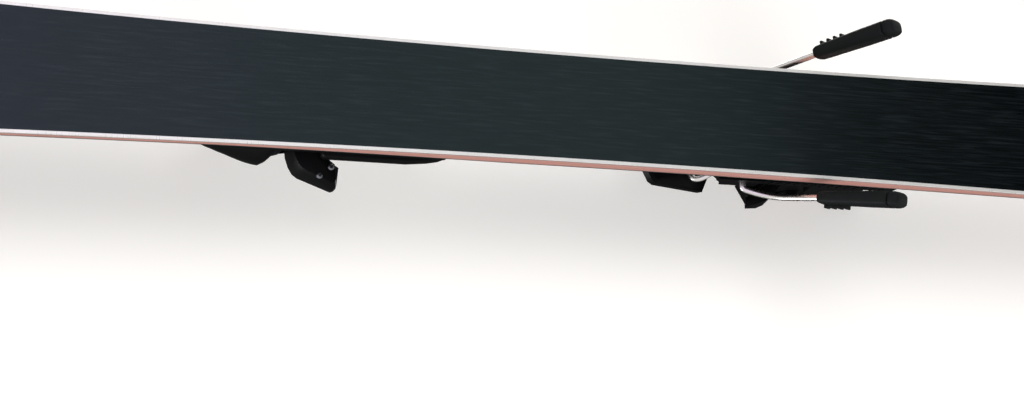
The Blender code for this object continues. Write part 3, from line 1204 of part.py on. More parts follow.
def taper_lever(lever, front_x, rear_x):
    """Narrow the lever's plate towards its rear end."""
    for vertex in lever.data.vertices:
        x = vertex.co.x + lever.location.x
        t = clamp01((front_x - 0.020 - x) / (front_x - 0.020 - rear_x))
        vertex.co.y *= lerp(1.0, 0.76, t)


def make_heel_piece():
    track = make_heel_track()
    make_heel_carriage()
    make_pressure_screw()
    make_heel_jaw()
    make_jaw_mechanism()
    make_heel_lever()
    return track


# Brake

def filleted(corners, radius):
    """Round the corners of a route; each inner corner becomes a short arc."""
    points = [Vector(corners[0])]
    for before, corner, after in zip(corners, corners[1:], corners[2:]):
        before, corner, after = Vector(before), Vector(corner), Vector(after)
        into = (before - corner).normalized()
        out = (after - corner).normalized()
        half_angle = into.angle(out) / 2
        room = 0.45 * min((before - corner).length, (after - corner).length)
        reach = min(radius / math.tan(half_angle), room)
        start = corner + into * reach
        end = corner + out * reach
        for i in range(ARC_STEPS + 1):
            t = i / ARC_STEPS
            points.append((1 - t) ** 2 * start + 2 * t * (1 - t) * corner + t * t * end)
    points.append(Vector(corners[-1]))
    return points


def pad_ends(side):
    start = AXLE_POINT + Vector((-PAD_START_BACK, side * PAD_START_OUT, -PAD_START_DROP))
    end = AXLE_POINT + Vector((-PAD_END_BACK, side * PAD_END_OUT, -PAD_END_DROP))
    return start, end


def leg_offset():
    """Half the distance between the two legs of the wire, inside the cheeks of the base."""
    return BRAKE_BASE_HALF_WIDTH - BRAKE_CHEEK_THICKNESS - BRAKE_LEG_SLOT / 2


def wire_corners(side):
    """Route of one half of the brake wire, from the end in its pad to the middle of the crossbar."""
    start, end = pad_ends(side)
    into_pad = (end - start).normalized()
    outside = BRAKE_BASE_HALF_WIDTH + GAP + WIRE_RADIUS
    return [start + into_pad * WIRE_IN_PAD,
            start,
            AXLE_POINT + Vector((-ARM_BEND_BACK, side * ARM_BEND_OUT, -ARM_BEND_DROP)),
            AXLE_POINT + Vector((0.0, side * (outside + 0.0006), 0.0)),
            AXLE_POINT + Vector((0.0, side * leg_offset(), 0.0)),
            AXLE_POINT.lerp(CROSSBAR_POINT, LEG_BEND) + Vector((0.0, side * leg_offset(), 0.0)),
            CROSSBAR_POINT + Vector((0.0, side * CROSSBAR_HALF_WIDTH, 0.0)),
            CROSSBAR_POINT]


def make_brake_wire():
    left = wire_corners(1)
    right = list(reversed(wire_corners(-1)))
    points = filleted(left + right[1:], WIRE_BEND_RADIUS)
    return tube("brake_wire", points, WIRE_RADIUS, WIRE_STEEL, pivot=AXLE_POINT)


def pad_frame(side):
    """Along, outward and depth directions of a pad."""
    start, end = pad_ends(side)
    along = (end - start).normalized()
    outward = Vector((0, side, 0))
    outward = (outward - along * outward.dot(along)).normalized()
    return start, along, outward, along.cross(outward)


def make_brake_pad(side):
    name = "brake_pad_left" if side > 0 else "brake_pad_right"
    start, along, outward, depth = pad_frame(side)
    length = (pad_ends(side)[1] - start).length
    thick, deep = PAD_HALF_THICKNESS, PAD_HALF_DEPTH
    stations = [(0.0, 0.66, 0.62), (0.05, 0.82, 0.80), (0.30, 0.88, 0.90), (0.60, 0.97, 0.97),
                (0.86, 1.0, 1.0), (0.872, 0.86, 0.90), (0.892, 0.86, 0.90), (0.905, 1.0, 1.0),
                (0.965, 0.92, 0.93), (1.0, 0.62, 0.68)]
    ring = [(1.0, -0.45), (1.0, 0.45), (0.84, 0.80), (0.48, 1.0), (-0.48, 1.0), (-0.84, 0.80), (-1.0, 0.45),
            (-1.0, -0.45), (-0.84, -0.80), (-0.48, -1.0), (0.48, -1.0), (0.84, -0.80)]
    rings = []
    for t, a, b in stations:
        centre = start + along * (t * length)
        rings.append([centre + outward * (thick * a * u) + depth * (deep * b * v) for u, v in ring])
    pad = loft(name, rings, RUBBER, pivot=AXLE_POINT, smooth_angle=40)
    teeth = pad_teeth(side, start, along, outward, depth, length)
    boolean(pad, teeth, "UNION")
    radius = WIRE_RADIUS + HOLE_GAP
    bore_name = "pad_bore_left" if side > 0 else "pad_bore_right"
    bore = turned(bore_name, [(0, radius), (WIRE_IN_PAD + 0.0063, radius)], start - along * 0.006, along,
                  RUBBER, SMALL_ROUND_SEGMENTS)
    boolean(pad, bore)
    return pad


def pad_teeth(side, start, along, outward, depth, length):
    """Small ridges on the outer face near the wire end, as one object."""
    corners = ((0, 0, 0), (1, 0, 0), (1, 1, 0), (0, 1, 0), (0, 0, 1), (1, 0, 1), (1, 1, 1), (0, 1, 1))
    sides = ((0, 3, 2, 1), (4, 5, 6, 7), (0, 1, 5, 4), (1, 2, 6, 5), (2, 3, 7, 6), (3, 0, 4, 7))
    points = []
    faces = []
    for i in range(PAD_TEETH):
        at = start + along * (length * (0.085 + 0.082 * i))
        base = at + outward * (PAD_HALF_THICKNESS * 0.6) - depth * (PAD_HALF_DEPTH * 0.42)
        reach = PAD_HALF_THICKNESS * (0.24 + 0.015 * i) + PAD_TOOTH_HEIGHT
        first = len(points)
        tall = PAD_HALF_DEPTH * 0.84
        for a, b, c in corners:
            points.append(base + along * (a * 0.0018) + outward * (b * reach) + depth * (c * tall))
        faces += [tuple(first + v for v in face) for face in sides]
    name = "pad_teeth_left" if side > 0 else "pad_teeth_right"
    return new_object(name, mesh_from(name, points, faces), RUBBER, (0, 0, 0))


def make_brake_base():
    """Block with bearings for the wire, a pocket for the spring, and a thin tongue under the pedal."""
    rear = BRAKE_BASE_REAR_X
    front = rear + BRAKE_BASE_BLOCK_LENGTH
    tongue_front = BOOT_HEEL_X + BRAKE_TONGUE_FRONT_AHEAD
    top = RISER_TOP + BRAKE_BASE_TOP
    wide = BRAKE_BASE_HALF_WIDTH
    half = [(rear, 0.0), (rear, wide), (front - 0.0050, wide), (front, wide - 0.0045), (front, 0.0)]
    base = prism("brake_base", mirrored(half), SEAT, top, BLACK_PLASTIC, pivot=(rear, 0, SEAT))
    slot_outer = BRAKE_BASE_HALF_WIDTH - BRAKE_CHEEK_THICKNESS
    slot_inner = slot_outer - BRAKE_LEG_SLOT
    above = top + 0.0010
    foot = SEAT + 0.0050
    ahead = [(front + 0.0200, foot), (front + 0.0200, above)]
    gentle = [(front - 0.0255, above), (front - 0.0090, foot)] + ahead
    steep = [(front - 0.0110, above), (front - 0.0095, SEAT + 0.0110), (front - 0.0040, foot)] + ahead
    boolean(base, prism("base_slope", gentle, -slot_outer, slot_outer, BLACK_PLASTIC, "Y"))
    boolean(base, prism("cheek_slope", steep, -0.05, 0.05, BLACK_PLASTIC, "Y"))
    half = [(front - 0.0060, 0.0), (front - 0.0060, BRAKE_TONGUE_HALF_WIDTH),
            (tongue_front - 0.0060, BRAKE_TONGUE_HALF_WIDTH), (tongue_front, BRAKE_TONGUE_HALF_WIDTH * 0.7),
            (tongue_front, 0.0)]
    tongue = prism("brake_tongue", mirrored(half), SEAT, SEAT + BRAKE_TONGUE_THICKNESS, BLACK_PLASTIC)
    boolean(base, tongue, "UNION")
    pocket_floor = SEAT + BRAKE_TONGUE_THICKNESS
    for side in (1, -1):
        low, high = sorted((side * slot_inner, side * slot_outer))
        name = "leg_slot_left" if side > 0 else "leg_slot_right"
        slot = block(name, (AXLE_X - 0.0052, low, pocket_floor), (front + 0.02, high, top + 0.02),
                     BLACK_PLASTIC)
        boolean(base, slot)
    pocket_half = slot_inner - 0.0030
    pocket = block("spring_pocket", (AXLE_X - 0.0052, -pocket_half, pocket_floor),
                   (front + 0.02, pocket_half, top + 0.02), BLACK_PLASTIC)
    boolean(base, pocket)
    radius = WIRE_RADIUS + HOLE_GAP
    reach = BRAKE_BASE_HALF_WIDTH + CUTTER_REACH
    length = reach - slot_outer + 0.002
    for side in (1, -1):
        name = "axle_hole_left" if side > 0 else "axle_hole_right"
        hole = turned(name, [(0, radius), (length, radius)], (AXLE_X, side * reach, AXLE_Z), (0, -side, 0),
                      ZINC_STEEL, SMALL_ROUND_SEGMENTS)
        boolean(base, hole)
    pin_reach = slot_inner - 0.0004
    radius = BRAKE_SPRING_PIN_RADIUS + HOLE_GAP
    hole_reach = pin_reach + GAP
    pin_hole = turned("spring_pin_hole", [(0, radius), (2 * hole_reach, radius)],
                      (AXLE_X, -hole_reach, AXLE_Z), (0, 1, 0), ZINC_STEEL, SMALL_ROUND_SEGMENTS)
    boolean(base, pin_hole)
    turned("brake_spring_pin", [(0, BRAKE_SPRING_PIN_RADIUS), (2 * pin_reach, BRAKE_SPRING_PIN_RADIUS)],
           (AXLE_X, -pin_reach, AXLE_Z), (0, 1, 0), ZINC_STEEL, SMALL_ROUND_SEGMENTS)
    return pocket_half


def make_brake_spring(pocket_half):
    """Torsion spring round its pin; its ends press on the floor of the pocket."""
    coil_half = pocket_half * 0.80
    count = BRAKE_SPRING_CURLS * SPRING_POINTS_PER_CURL
    points = []
    for i in range(count + 1):
        turn = math.tau * i / SPRING_POINTS_PER_CURL - math.pi / 2
        points.append((AXLE_X + BRAKE_SPRING_RADIUS * math.cos(turn), lerp(-coil_half, coil_half, i / count),
                       AXLE_Z + BRAKE_SPRING_RADIUS * math.sin(turn)))
    pitch = 2 * coil_half / BRAKE_SPRING_CURLS
    print("brake_spring least gap to itself", round((pitch - 2 * BRAKE_SPRING_WIRE_RADIUS) * 1000, 2), "mm")
    return tube("brake_spring", points, BRAKE_SPRING_WIRE_RADIUS, WIRE_STEEL, pivot=AXLE_POINT, resolution=1)


def make_brake_pedal():
    """Foot plate riding on the crossbar, level when a boot presses it down."""
    back = Vector((-math.cos(PEDAL_TILT), 0, math.sin(PEDAL_TILT)))
    up = Vector((math.sin(PEDAL_TILT), 0, math.cos(PEDAL_TILT)))
    low = WIRE_RADIUS + HOLE_GAP
    high = low + PEDAL_THICKNESS
    front, rear, wide = -PEDAL_FRONT_REACH, PEDAL_REAR_REACH, PEDAL_HALF_WIDTH
    half = [(front, 0.0), (front, wide * 0.78), (front + 0.0040, wide * 0.95), (front + 0.0080, wide),
            (rear - 0.0095, wide), (rear - 0.0048, wide * 0.76), (rear, wide * 0.56), (rear, 0.0)]
    outline = mirrored(half)
    rings = []
    for level, shrink in ((low, 0.94), (low + 0.0012, 1.0), (high - 0.0012, 1.0), (high, 0.94)):
        rings.append([CROSSBAR_POINT + back * (s * shrink) + up * level + Vector((0, y * shrink, 0))
                      for s, y in outline])
    pedal = loft("brake_pedal", rings, BLACK_PLASTIC, pivot=CROSSBAR_POINT)
    hub = turned("pedal_hub", [(0, PEDAL_HUB_RADIUS), (2 * PEDAL_HUB_HALF_WIDTH, PEDAL_HUB_RADIUS)],
                 CROSSBAR_POINT + Vector((0, -PEDAL_HUB_HALF_WIDTH, 0)), (0, 1, 0), BLACK_PLASTIC)
    boolean(pedal, hub, "UNION")
    for side in (1, -1):
        name = "leg_relief_left" if side > 0 else "leg_relief_right"
        boolean(pedal, leg_relief(name, side, back, up))
    radius = WIRE_RADIUS + HOLE_GAP
    reach = PEDAL_HUB_HALF_WIDTH + CUTTER_REACH
    hole = turned("crossbar_hole", [(0, radius), (2 * reach, radius)], CROSSBAR_POINT - Vector((0, reach, 0)),
                  (0, 1, 0), ZINC_STEEL, SMALL_ROUND_SEGMENTS)
    boolean(pedal, hole)
    return pedal


def leg_relief(name, side, back, up):
    """Cutter that clears the underside of the pedal for a leg of the wire when the brake is up."""
    over = WIRE_RADIUS + HOLE_GAP
    end = PEDAL_REAR_REACH + 0.0030
    section = [(-0.0010, -0.0100), (-0.0010, over), (0.0004, over), (end, over + 0.0029), (end, -0.0100)]
    low, high = sorted((side * (PEDAL_HUB_HALF_WIDTH + 0.0030), side * (PEDAL_HALF_WIDTH + 0.0100)))
    rings = []
    for y in (low, high):
        rings.append([CROSSBAR_POINT + back * s + up * u + Vector((0, y, 0)) for s, u in section])
    return loft(name, rings, BLACK_PLASTIC)


def make_brake():
    pocket_half = make_brake_base()
    make_brake_spring(pocket_half)
    make_brake_wire()
    for side in (1, -1):
        make_brake_pad(side)
    make_brake_pedal()


def main():
    ski_pieces = make_ski()
    toe_plate = make_toe_piece()
    heel_track = make_heel_piece()
    make_brake()
    toe_riser, heel_riser = make_risers()
    make_screws(ski_pieces, [toe_riser, toe_plate], [heel_riser, heel_track])


main()
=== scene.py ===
"""Looks of a carving ski with its binding and brake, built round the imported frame.

Places are metres in the frame: +X to the tip, +Y left, +Z up, zero on the running surface under the
middle of the boot sole.
"""
import json
import math

import bmesh
import bpy
from mathutils import Matrix, Vector


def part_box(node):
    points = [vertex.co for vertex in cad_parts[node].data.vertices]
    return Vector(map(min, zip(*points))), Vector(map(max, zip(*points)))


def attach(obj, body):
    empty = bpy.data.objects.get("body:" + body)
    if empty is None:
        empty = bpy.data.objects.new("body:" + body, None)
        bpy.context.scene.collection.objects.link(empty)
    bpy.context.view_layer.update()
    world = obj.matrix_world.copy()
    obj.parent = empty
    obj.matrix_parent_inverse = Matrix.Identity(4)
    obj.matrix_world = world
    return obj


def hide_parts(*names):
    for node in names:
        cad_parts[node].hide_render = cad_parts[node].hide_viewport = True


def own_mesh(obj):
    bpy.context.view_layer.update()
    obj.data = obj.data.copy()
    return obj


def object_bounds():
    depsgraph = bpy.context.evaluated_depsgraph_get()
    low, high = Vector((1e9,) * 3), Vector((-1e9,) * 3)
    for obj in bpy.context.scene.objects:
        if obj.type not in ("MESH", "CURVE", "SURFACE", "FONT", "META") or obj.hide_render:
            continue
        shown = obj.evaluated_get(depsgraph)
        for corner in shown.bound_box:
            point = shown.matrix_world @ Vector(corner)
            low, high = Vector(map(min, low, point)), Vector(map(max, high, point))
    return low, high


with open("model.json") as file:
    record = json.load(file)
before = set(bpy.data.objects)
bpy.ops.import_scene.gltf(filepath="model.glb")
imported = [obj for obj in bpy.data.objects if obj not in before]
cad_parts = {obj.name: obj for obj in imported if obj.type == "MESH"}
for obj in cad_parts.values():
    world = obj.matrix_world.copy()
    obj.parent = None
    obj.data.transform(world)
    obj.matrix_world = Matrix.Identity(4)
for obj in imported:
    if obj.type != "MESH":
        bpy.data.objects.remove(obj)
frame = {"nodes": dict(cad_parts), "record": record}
CAD_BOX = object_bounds()

# Ski outline, side view and layers
SKI_TIP_X = 0.930
SKI_TAIL_X = -0.770
WAIST_WIDTH = 0.068
WAIST_X = -0.0039
FRONT_SIDECUT_RADIUS = 15.3
REAR_SIDECUT_RADIUS = 16.3
TIP_ROUNDING_LENGTH = 0.230
TAIL_ROUNDING_LENGTH = 0.110
TIP_JOIN_X = 0.865
TAIL_JOIN_X = -0.748
FLAT_FRONT_X = 0.235
FLAT_REAR_X = -0.250
FRONT_CONTACT_X = 0.720
REAR_CONTACT_X = -0.660
CAMBER = 0.003
TIP_RISE = 0.058
TAIL_RISE = 0.010
THICKNESS_MIDDLE = 0.0160
THICKNESS_TIP = 0.0070
THICKNESS_TAIL = 0.0075
EDGE_WIDTH = 0.0020
EDGE_TOP = 0.0023
EDGE_CHAMFER = 0.0002
LAMINATE_TOP = 0.0028
LAMINATE_THICKNESS = 0.0005
LAYER_GAP = 0.0003
SIDEWALL_WIDTH = 0.0060
SIDEWALL_TOP_MIDDLE = 0.0139
SIDEWALL_TOP_FRONT = 0.0071
SIDEWALL_TOP_REAR = 0.0080
SIDEWALL_FALL_FRONT_X = 0.030
SIDEWALL_LOW_FRONT_X = 0.225
SIDEWALL_FALL_REAR_X = -0.200
SIDEWALL_LOW_REAR_X = -0.480
SIDEWALL_STRAIGHT_SHARE = 0.6   # how much of its fall is a straight line, and the rest an S
SIDEWALL_CHAMFER = 0.0001
SIDEWALL_FOOT = 0.0003
SIDEWALL_HEAD = 0.0002
SHEET_INSET = 0.00005           # keeps the thin sheets behind the edges and the sidewalls
EDGE_STAND = 0.00002            # the edges stand this far below the base
CAP_LIP = 0.0005
CAP_MIN_THICKNESS = 0.0010
CAP_STAND = 0.0001              # the sheet's top lies this far above the CAD's
CAP_SHOULDER_STEPS = 6
CAP_SHOULDER_ROUNDNESS = 0.45
END_STEPS = 40
END_RIM_STEPS = 5
END_RIM_SHARE = 0.46
END_THINNING = 0.72
END_MIN_HALF_WIDTH = 0.0040
END_DRAW_BACK = 0.0035          # of the last ring, as a share of the end's length
FINE_STEP = 0.008

# Binding and brake
GAP = 0.0003
TOE_SLOT_X = 0.1745
TOE_NOSE_X = 0.2300
TOE_SLOT_TOP = 0.0838
TOE_NOSE_TOP = 0.0591
TOE_COVER_THICKNESS = 0.0032
WING_BOTTOM = 0.0463
WING_SCREWS = ((0.1519, 0.0424), (0.1449, 0.0368))
LEVER_PIN_X = -0.181
LEVER_TOP_Z = 0.1090
LEVER_TOP_SLOPE = 0.267
BRAKE_AXLE = Vector((-0.1225, 0.0, 0.0403))
CROSSBAR = Vector((-0.0945, 0.0, 0.0623))
WIRE_RADIUS = 0.0021
WIRE_BEND_RADIUS = 0.0042
CROSSBAR_BEND_RADIUS = 0.0080
SWEEP_BEND_RADIUS = 0.0600
WIRE_IN_PAD = 0.0300
WIRE_KNEE = (-0.0168, 0.0411, -0.0023)      # from the axle: back, out and up
WIRE_AXLE_OUTER_Y = 0.0360
WIRE_AXLE_INNER_Y = 0.0240
WIRE_UPRIGHT_SHARE = 0.58
CROSSBAR_HALF_WIDTH = 0.0312
PAD_START = (-0.0365, 0.0466, -0.0372)
PAD_END = (-0.0686, 0.0548, -0.0860)
PAD_HALF_THICKNESS = 0.0049
PAD_HALF_DEPTH = 0.0078
PEDAL_TILT = math.radians(24)
PEDAL_TOP = 0.0096              # above the crossbar's axis, square to the pedal

# Camera, as the photograph was taken: from below the running surface
CAMERA_PLACE = (0.3824, -0.2799, -1.1349)
CAMERA_PITCH = 0.188
CAMERA_YAW = -0.285
CAMERA_ROLL = -0.0559
FOCAL_PIXELS = 2015.7
PHOTO_WIDTH_PIXELS = 1024
SENSOR_WIDTH_MM = 36.0

# Stage
FLOOR_DROP = 0.0004
FLOOR_SIZE = 60.0
TABLE_RISE = 0.006
TABLE_SIZE = 1.5
TABLE_CENTRE = (0.05, 0.0)

SIDES = (("left", 1), ("right", -1))       # the sign of y on each side

# Fineness of the meshes
SMOOTH_ANGLE = math.radians(32)
ROUND_SMOOTH_ANGLE = math.radians(50)      # of wires and round rims
FLAT_ANGLE = math.radians(0.5)
MERGE_DISTANCE = 0.000002
ROUNDED_ANGLE = math.radians(35)
ROUNDED_SEGMENTS = 2
TURNED_SIDES = 40
WIRE_SIDES = 18
SPRING_WIRE_SIDES = 12
COIL_STEPS = 24
FILLET_STEPS = 10


# Node helpers

def add_node(tree, kind, inputs=None, **settings):
    made = tree.nodes.new("ShaderNode" + kind)
    for name, value in settings.items():
        setattr(made, name, value)
    for name, value in (inputs or {}).items():
        if isinstance(value, bpy.types.NodeSocket):
            tree.links.new(value, made.inputs[name])
        else:
            made.inputs[name].default_value = value
    return made


def math_node(tree, operation, first, second=0.0):
    return add_node(tree, "Math", {0: first, 1: second}, operation=operation).outputs[0]


def ramp(tree, value, low, high, to_low, to_high):
    inputs = {0: value, 1: low, 2: high, 3: to_low, 4: to_high}
    return add_node(tree, "MapRange", inputs).outputs[0]


def mix_colour(tree, factor, first, second):
    made = add_node(tree, "Mix", data_type="RGBA")
    for socket, value in ((made.inputs[0], factor), (made.inputs[6], first), (made.inputs[7], second)):
        if isinstance(value, tuple):
            socket.default_value = (*value, 1.0)
        else:
            tree.links.new(value, socket)
    return made.outputs[2]


def noise(tree, scale, detail=3.0, roughness=0.55):
    """Noise with features of about one over the scale, in metres; three scales stretch it."""
    scales = scale if isinstance(scale, tuple) else (scale, scale, scale)
    place = add_node(tree, "TexCoord").outputs["Object"]
    stretched = add_node(tree, "Mapping", {"Vector": place, "Scale": scales}).outputs[0]
    inputs = {"Vector": stretched, "Scale": 1.0, "Detail": detail, "Roughness": roughness}
    return add_node(tree, "TexNoise", inputs).outputs[0]


def bump(tree, height, strength, distance):
    inputs = {"Height": height, "Strength": strength, "Distance": distance}
    return add_node(tree, "Bump", inputs).outputs[0]


def new_material(name, settings=None):
    material = bpy.data.materials.new(name)
    material.use_nodes = True
    for socket, value in (settings or {}).items():
        material.node_tree.nodes["Principled BSDF"].inputs[socket].default_value = value
    return material, material.node_tree


def finished(material, colour, roughness, normal=None):
    """The material, with what varies over it linked to its shader."""
    links = material.node_tree.links
    inputs = material.node_tree.nodes["Principled BSDF"].inputs
    links.new(colour, inputs["Base Color"])
    links.new(roughness, inputs["Roughness"])
    if normal is not None:
        links.new(normal, inputs["Normal"])
    return material


# Materials

def spread_tones(colour, spread):
    """The darkest and the lightest tone of a clouded colour."""
    dark = tuple(c * (1 - spread) for c in colour)
    light = tuple(min(1.0, c * (1 + spread)) for c in colour)
    return dark, light


def moulded(name, colour, roughness, grain=0.0005, grain_depth=0.00004, spread=0.35, specular=0.5):
    """Moulded plastic: eroded texture, cloudy sheen, faint handling marks."""
    material, tree = new_material(name, {"Specular IOR Level": specular})
    clouds = noise(tree, 60.0, 4.0)
    marks = noise(tree, (180.0, 180.0, 40.0), 5.0, 0.7)
    blend = math_node(tree, "MULTIPLY", math_node(tree, "ADD", clouds, marks), 0.5)
    return finished(material, mix_colour(tree, clouds, *spread_tones(colour, spread)),
                    ramp(tree, blend, 0.3, 0.7, roughness - 0.08, roughness + 0.10),
                    bump(tree, noise(tree, 1 / grain, 2.0), 0.5, grain_depth))


def metal(name, colour, roughness, line_scale, line_depth=0.00002):
    """Drawn, ground or plated metal: fine lines along one direction and cloudy tint."""
    material, tree = new_material(name, {"Metallic": 1.0})
    lines = noise(tree, line_scale, 3.0, 0.6)
    clouds = noise(tree, 90.0, 3.0)
    return finished(material, mix_colour(tree, clouds, *spread_tones(colour, 0.12)),
                    ramp(tree, lines, 0.3, 0.7, roughness * 0.7, roughness * 1.35),
                    bump(tree, lines, 0.5, line_depth))


def running_base_material():
    """Sintered black base: stone-ground lines along the ski, short pale streaks, waxy sheen."""
    settings = {"Specular IOR Level": 0.52, "Specular Tint": (0.72, 0.93, 1.0, 1.0)}
    material, tree = new_material("ski_base", settings)
    lines = noise(tree, (12.0, 1300.0, 1.0), 4.0, 0.65)
    dashes = noise(tree, (40.0, 700.0, 1.0), 2.0, 0.5)
    clouds = noise(tree, (9.0, 24.0, 9.0), 3.0)
    body = mix_colour(tree, clouds, (0.0007, 0.0009, 0.0011), (0.0013, 0.0018, 0.0022))
    grain = ramp(tree, lines, 0.42, 0.62, 0.0, 1.0)
    body = mix_colour(tree, grain, body, (0.0033, 0.0043, 0.0051))
    streaks = ramp(tree, dashes, 0.50, 0.72, 0.0, 1.0)
    body = mix_colour(tree, streaks, body, (0.0072, 0.0092, 0.0106))
    sheen = math_node(tree, "ADD", lines, math_node(tree, "MULTIPLY", clouds, 0.6))
    return finished(material, body, ramp(tree, sheen, 0.4, 1.2, 0.12, 0.24),
                    bump(tree, lines, 0.35, 0.00002))


def edge_material():
    """Ground steel, with a painted reflection: its upright side is tinted warm pink, as if mirroring the
    coral sidewall beside it.
    """
    material, tree = new_material("edge_steel", {"Metallic": 0.55})
    lines = noise(tree, (2400.0, 60.0, 60.0), 3.0, 0.6)
    clouds = noise(tree, 90.0, 3.0)
    body = mix_colour(tree, clouds, (0.78, 0.765, 0.745), (0.94, 0.925, 0.905))
    # painted reflection: faces that stand upright are mixed towards pink, for the coral sidewall mirrored
    # in the edge
    facing = add_node(tree, "NewGeometry").outputs["Normal"]
    up = add_node(tree, "SeparateXYZ", {0: facing}).outputs[2]
    upright = ramp(tree, math_node(tree, "ABSOLUTE", up), 0.30, 0.80, 1.0, 0.0)
    body = mix_colour(tree, upright, body, (0.80, 0.68, 0.655))
    return finished(material, body, ramp(tree, lines, 0.3, 0.7, 0.24, 0.46),
                    bump(tree, lines, 0.5, 0.00002))


def sidewall_material():
    """Coral plastic, planed along the ski."""
    material, tree = new_material("coral_sidewall")
    lines = noise(tree, (14.0, 900.0, 1500.0), 3.0)
    clouds = noise(tree, (12.0, 60.0, 60.0), 3.0)
    body = mix_colour(tree, clouds, (0.52, 0.240, 0.200), (0.64, 0.310, 0.262))
    body = mix_colour(tree, ramp(tree, lines, 0.45, 0.8, 0.0, 0.35), body, (0.72, 0.46, 0.41))
    return finished(material, body, ramp(tree, lines, 0.3, 0.7, 0.30, 0.48),
                    bump(tree, lines, 0.5, 0.00004))


def stripe(tree, along, centre, half_width, softness=0.0004):
    """One inside a band round a value, zero outside."""
    distance = math_node(tree, "ABSOLUTE", math_node(tree, "SUBTRACT", along, centre))
    return ramp(tree, distance, half_width, half_width + softness, 1.0, 0.0)


def topsheet_wedges(tree, x, y, colour):
    """Coral, rose and white bands that lean across the sheet, in front of and behind the binding."""
    white = (0.78, 0.77, 0.74)
    coral = (0.62, 0.190, 0.140)
    rose = (0.38, 0.090, 0.068)
    slant = math_node(tree, "ADD", x, math_node(tree, "MULTIPLY", y, 2.2))
    bands = (
        (0.640, 0.075, coral), (0.5525, 0.0085, white), (0.500, 0.0180, rose), (0.7335, 0.0110, white),
        (-0.520, 0.0600, coral), (-0.4490, 0.0060, white), (-0.6050, 0.0180, rose),
    )
    for centre, half_width, paint in bands:
        colour = mix_colour(tree, stripe(tree, slant, centre, half_width), colour, paint)
    sidecut = math_node(tree, "MULTIPLY", math_node(tree, "MULTIPLY", x, x), 0.5 / FRONT_SIDECUT_RADIUS)
    border = math_node(tree, "SUBTRACT", math_node(tree, "ABSOLUTE", y), sidecut)
    return mix_colour(tree, stripe(tree, border, 0.0262, 0.0007), colour, white)


def topsheet_material():
    """Charcoal sheet with coral and white wedges; plain slanted shapes, in clear lacquer."""
    material, tree = new_material("ski_topsheet", {"Coat Weight": 0.35, "Coat Roughness": 0.16})
    place = add_node(tree, "TexCoord").outputs["Object"]
    split = add_node(tree, "SeparateXYZ", {0: place})
    clouds = noise(tree, 35.0, 4.0)
    colour = mix_colour(tree, clouds, (0.016, 0.018, 0.021), (0.026, 0.029, 0.033))
    colour = topsheet_wedges(tree, split.outputs[0], split.outputs[1], colour)
    flakes = noise(tree, 2600.0, 1.0)
    colour = mix_colour(tree, ramp(tree, flakes, 0.66, 0.74, 0.0, 0.10), colour, (0.6, 0.6, 0.6))
    ripple = noise(tree, (25.0, 160.0, 160.0), 2.0)
    return finished(material, colour, ramp(tree, clouds, 0.3, 0.7, 0.34, 0.48),
                    bump(tree, ripple, 0.25, 0.00005))


def rubber_material():
    """Matte pad rubber with pale scuffs scattered by noise."""
    material, tree = new_material("pad_rubber", {"Specular IOR Level": 0.17})
    clouds = noise(tree, 140.0, 4.0)
    scuffs = noise(tree, (60.0, 700.0, 300.0), 5.0, 0.7)
    body = mix_colour(tree, clouds, (0.0034, 0.0042, 0.0044), (0.0066, 0.0078, 0.0080))
    body = mix_colour(tree, ramp(tree, scuffs, 0.60, 0.82, 0.0, 0.5), body, (0.030, 0.032, 0.033))
    return finished(material, body, ramp(tree, scuffs, 0.3, 0.8, 0.52, 0.74),
                    bump(tree, noise(tree, 1700.0, 2.0), 0.6, 0.00005))


def wood_material():
    """Laminated core: strips a few millimetres wide, each with its own tone."""
    material, tree = new_material("core_wood")
    strips = noise(tree, (1.5, 140.0, 1.0), 1.0)
    grain = noise(tree, (18.0, 1300.0, 700.0), 4.0)
    body = mix_colour(tree, strips, (0.50, 0.33, 0.17), (0.70, 0.52, 0.32))
    body = mix_colour(tree, ramp(tree, grain, 0.5, 0.8, 0.0, 0.4), body, (0.36, 0.22, 0.11))
    return finished(material, body, ramp(tree, grain, 0.3, 0.7, 0.5, 0.7))


def window_material():
    """Clear plastic with a faint moulded haze."""
    material, tree = new_material("clear_window", {"Transmission Weight": 1.0, "IOR": 1.49})
    haze = noise(tree, 200.0, 3.0)
    return finished(material, mix_colour(tree, haze, (0.90, 0.92, 0.92), (0.98, 0.98, 0.98)),
                    ramp(tree, haze, 0.3, 0.7, 0.02, 0.08))


MATERIALS = {
    "base": running_base_material(),
    "edge": edge_material(),
    "laminate": metal("laminate_aluminium", (0.42, 0.40, 0.39), 0.40, (12.0, 900.0, 2200.0)),
    "core": wood_material(),
    "coral": sidewall_material(),
    "topsheet": topsheet_material(),
    "black_plastic": moulded("black_nylon", (0.0026, 0.0027, 0.0030), 0.42, specular=0.09),
    "grey_plastic": moulded("grey_nylon", (0.055, 0.058, 0.063), 0.40, spread=0.2),
    "white_plastic": moulded("white_slider", (0.72, 0.72, 0.69), 0.34, 0.0009, 0.00002, 0.06),
    "clear": window_material(),
    "rubber": rubber_material(),
    "wire": metal("brake_wire_steel", (0.86, 0.83, 0.80), 0.30, 400.0, 0.000002),
    "zinc_steel": metal("zinc_plated_steel", (0.66, 0.67, 0.67), 0.32, 700.0),
    "dark_steel": metal("blackened_steel", (0.24, 0.25, 0.26), 0.36, 700.0),
    "accent": moulded("coral_plastic", (0.60, 0.175, 0.125), 0.38, spread=0.12),
    "white_print": moulded("white_print", (0.76, 0.76, 0.74), 0.40, spread=0.05),
    "black_print": moulded("black_print", (0.015, 0.015, 0.016), 0.45, spread=0.10),
}
SLOT_OF = {row["node"]: row["material_slot"] for row in frame["record"]["subparts"]}
BODIES = frame["record"]["behaviour"]["bodies"]
BODY_OF = {node: body for body, nodes in BODIES.items() for node in nodes}


# Mesh helpers

def lerp(low, high, t):
    return low + (high - low) * t


def clamp01(t):
    return max(0.0, min(1.0, t))


def smoothstep(t):
    t = clamp01(t)
    return t * t * (3 - 2 * t)


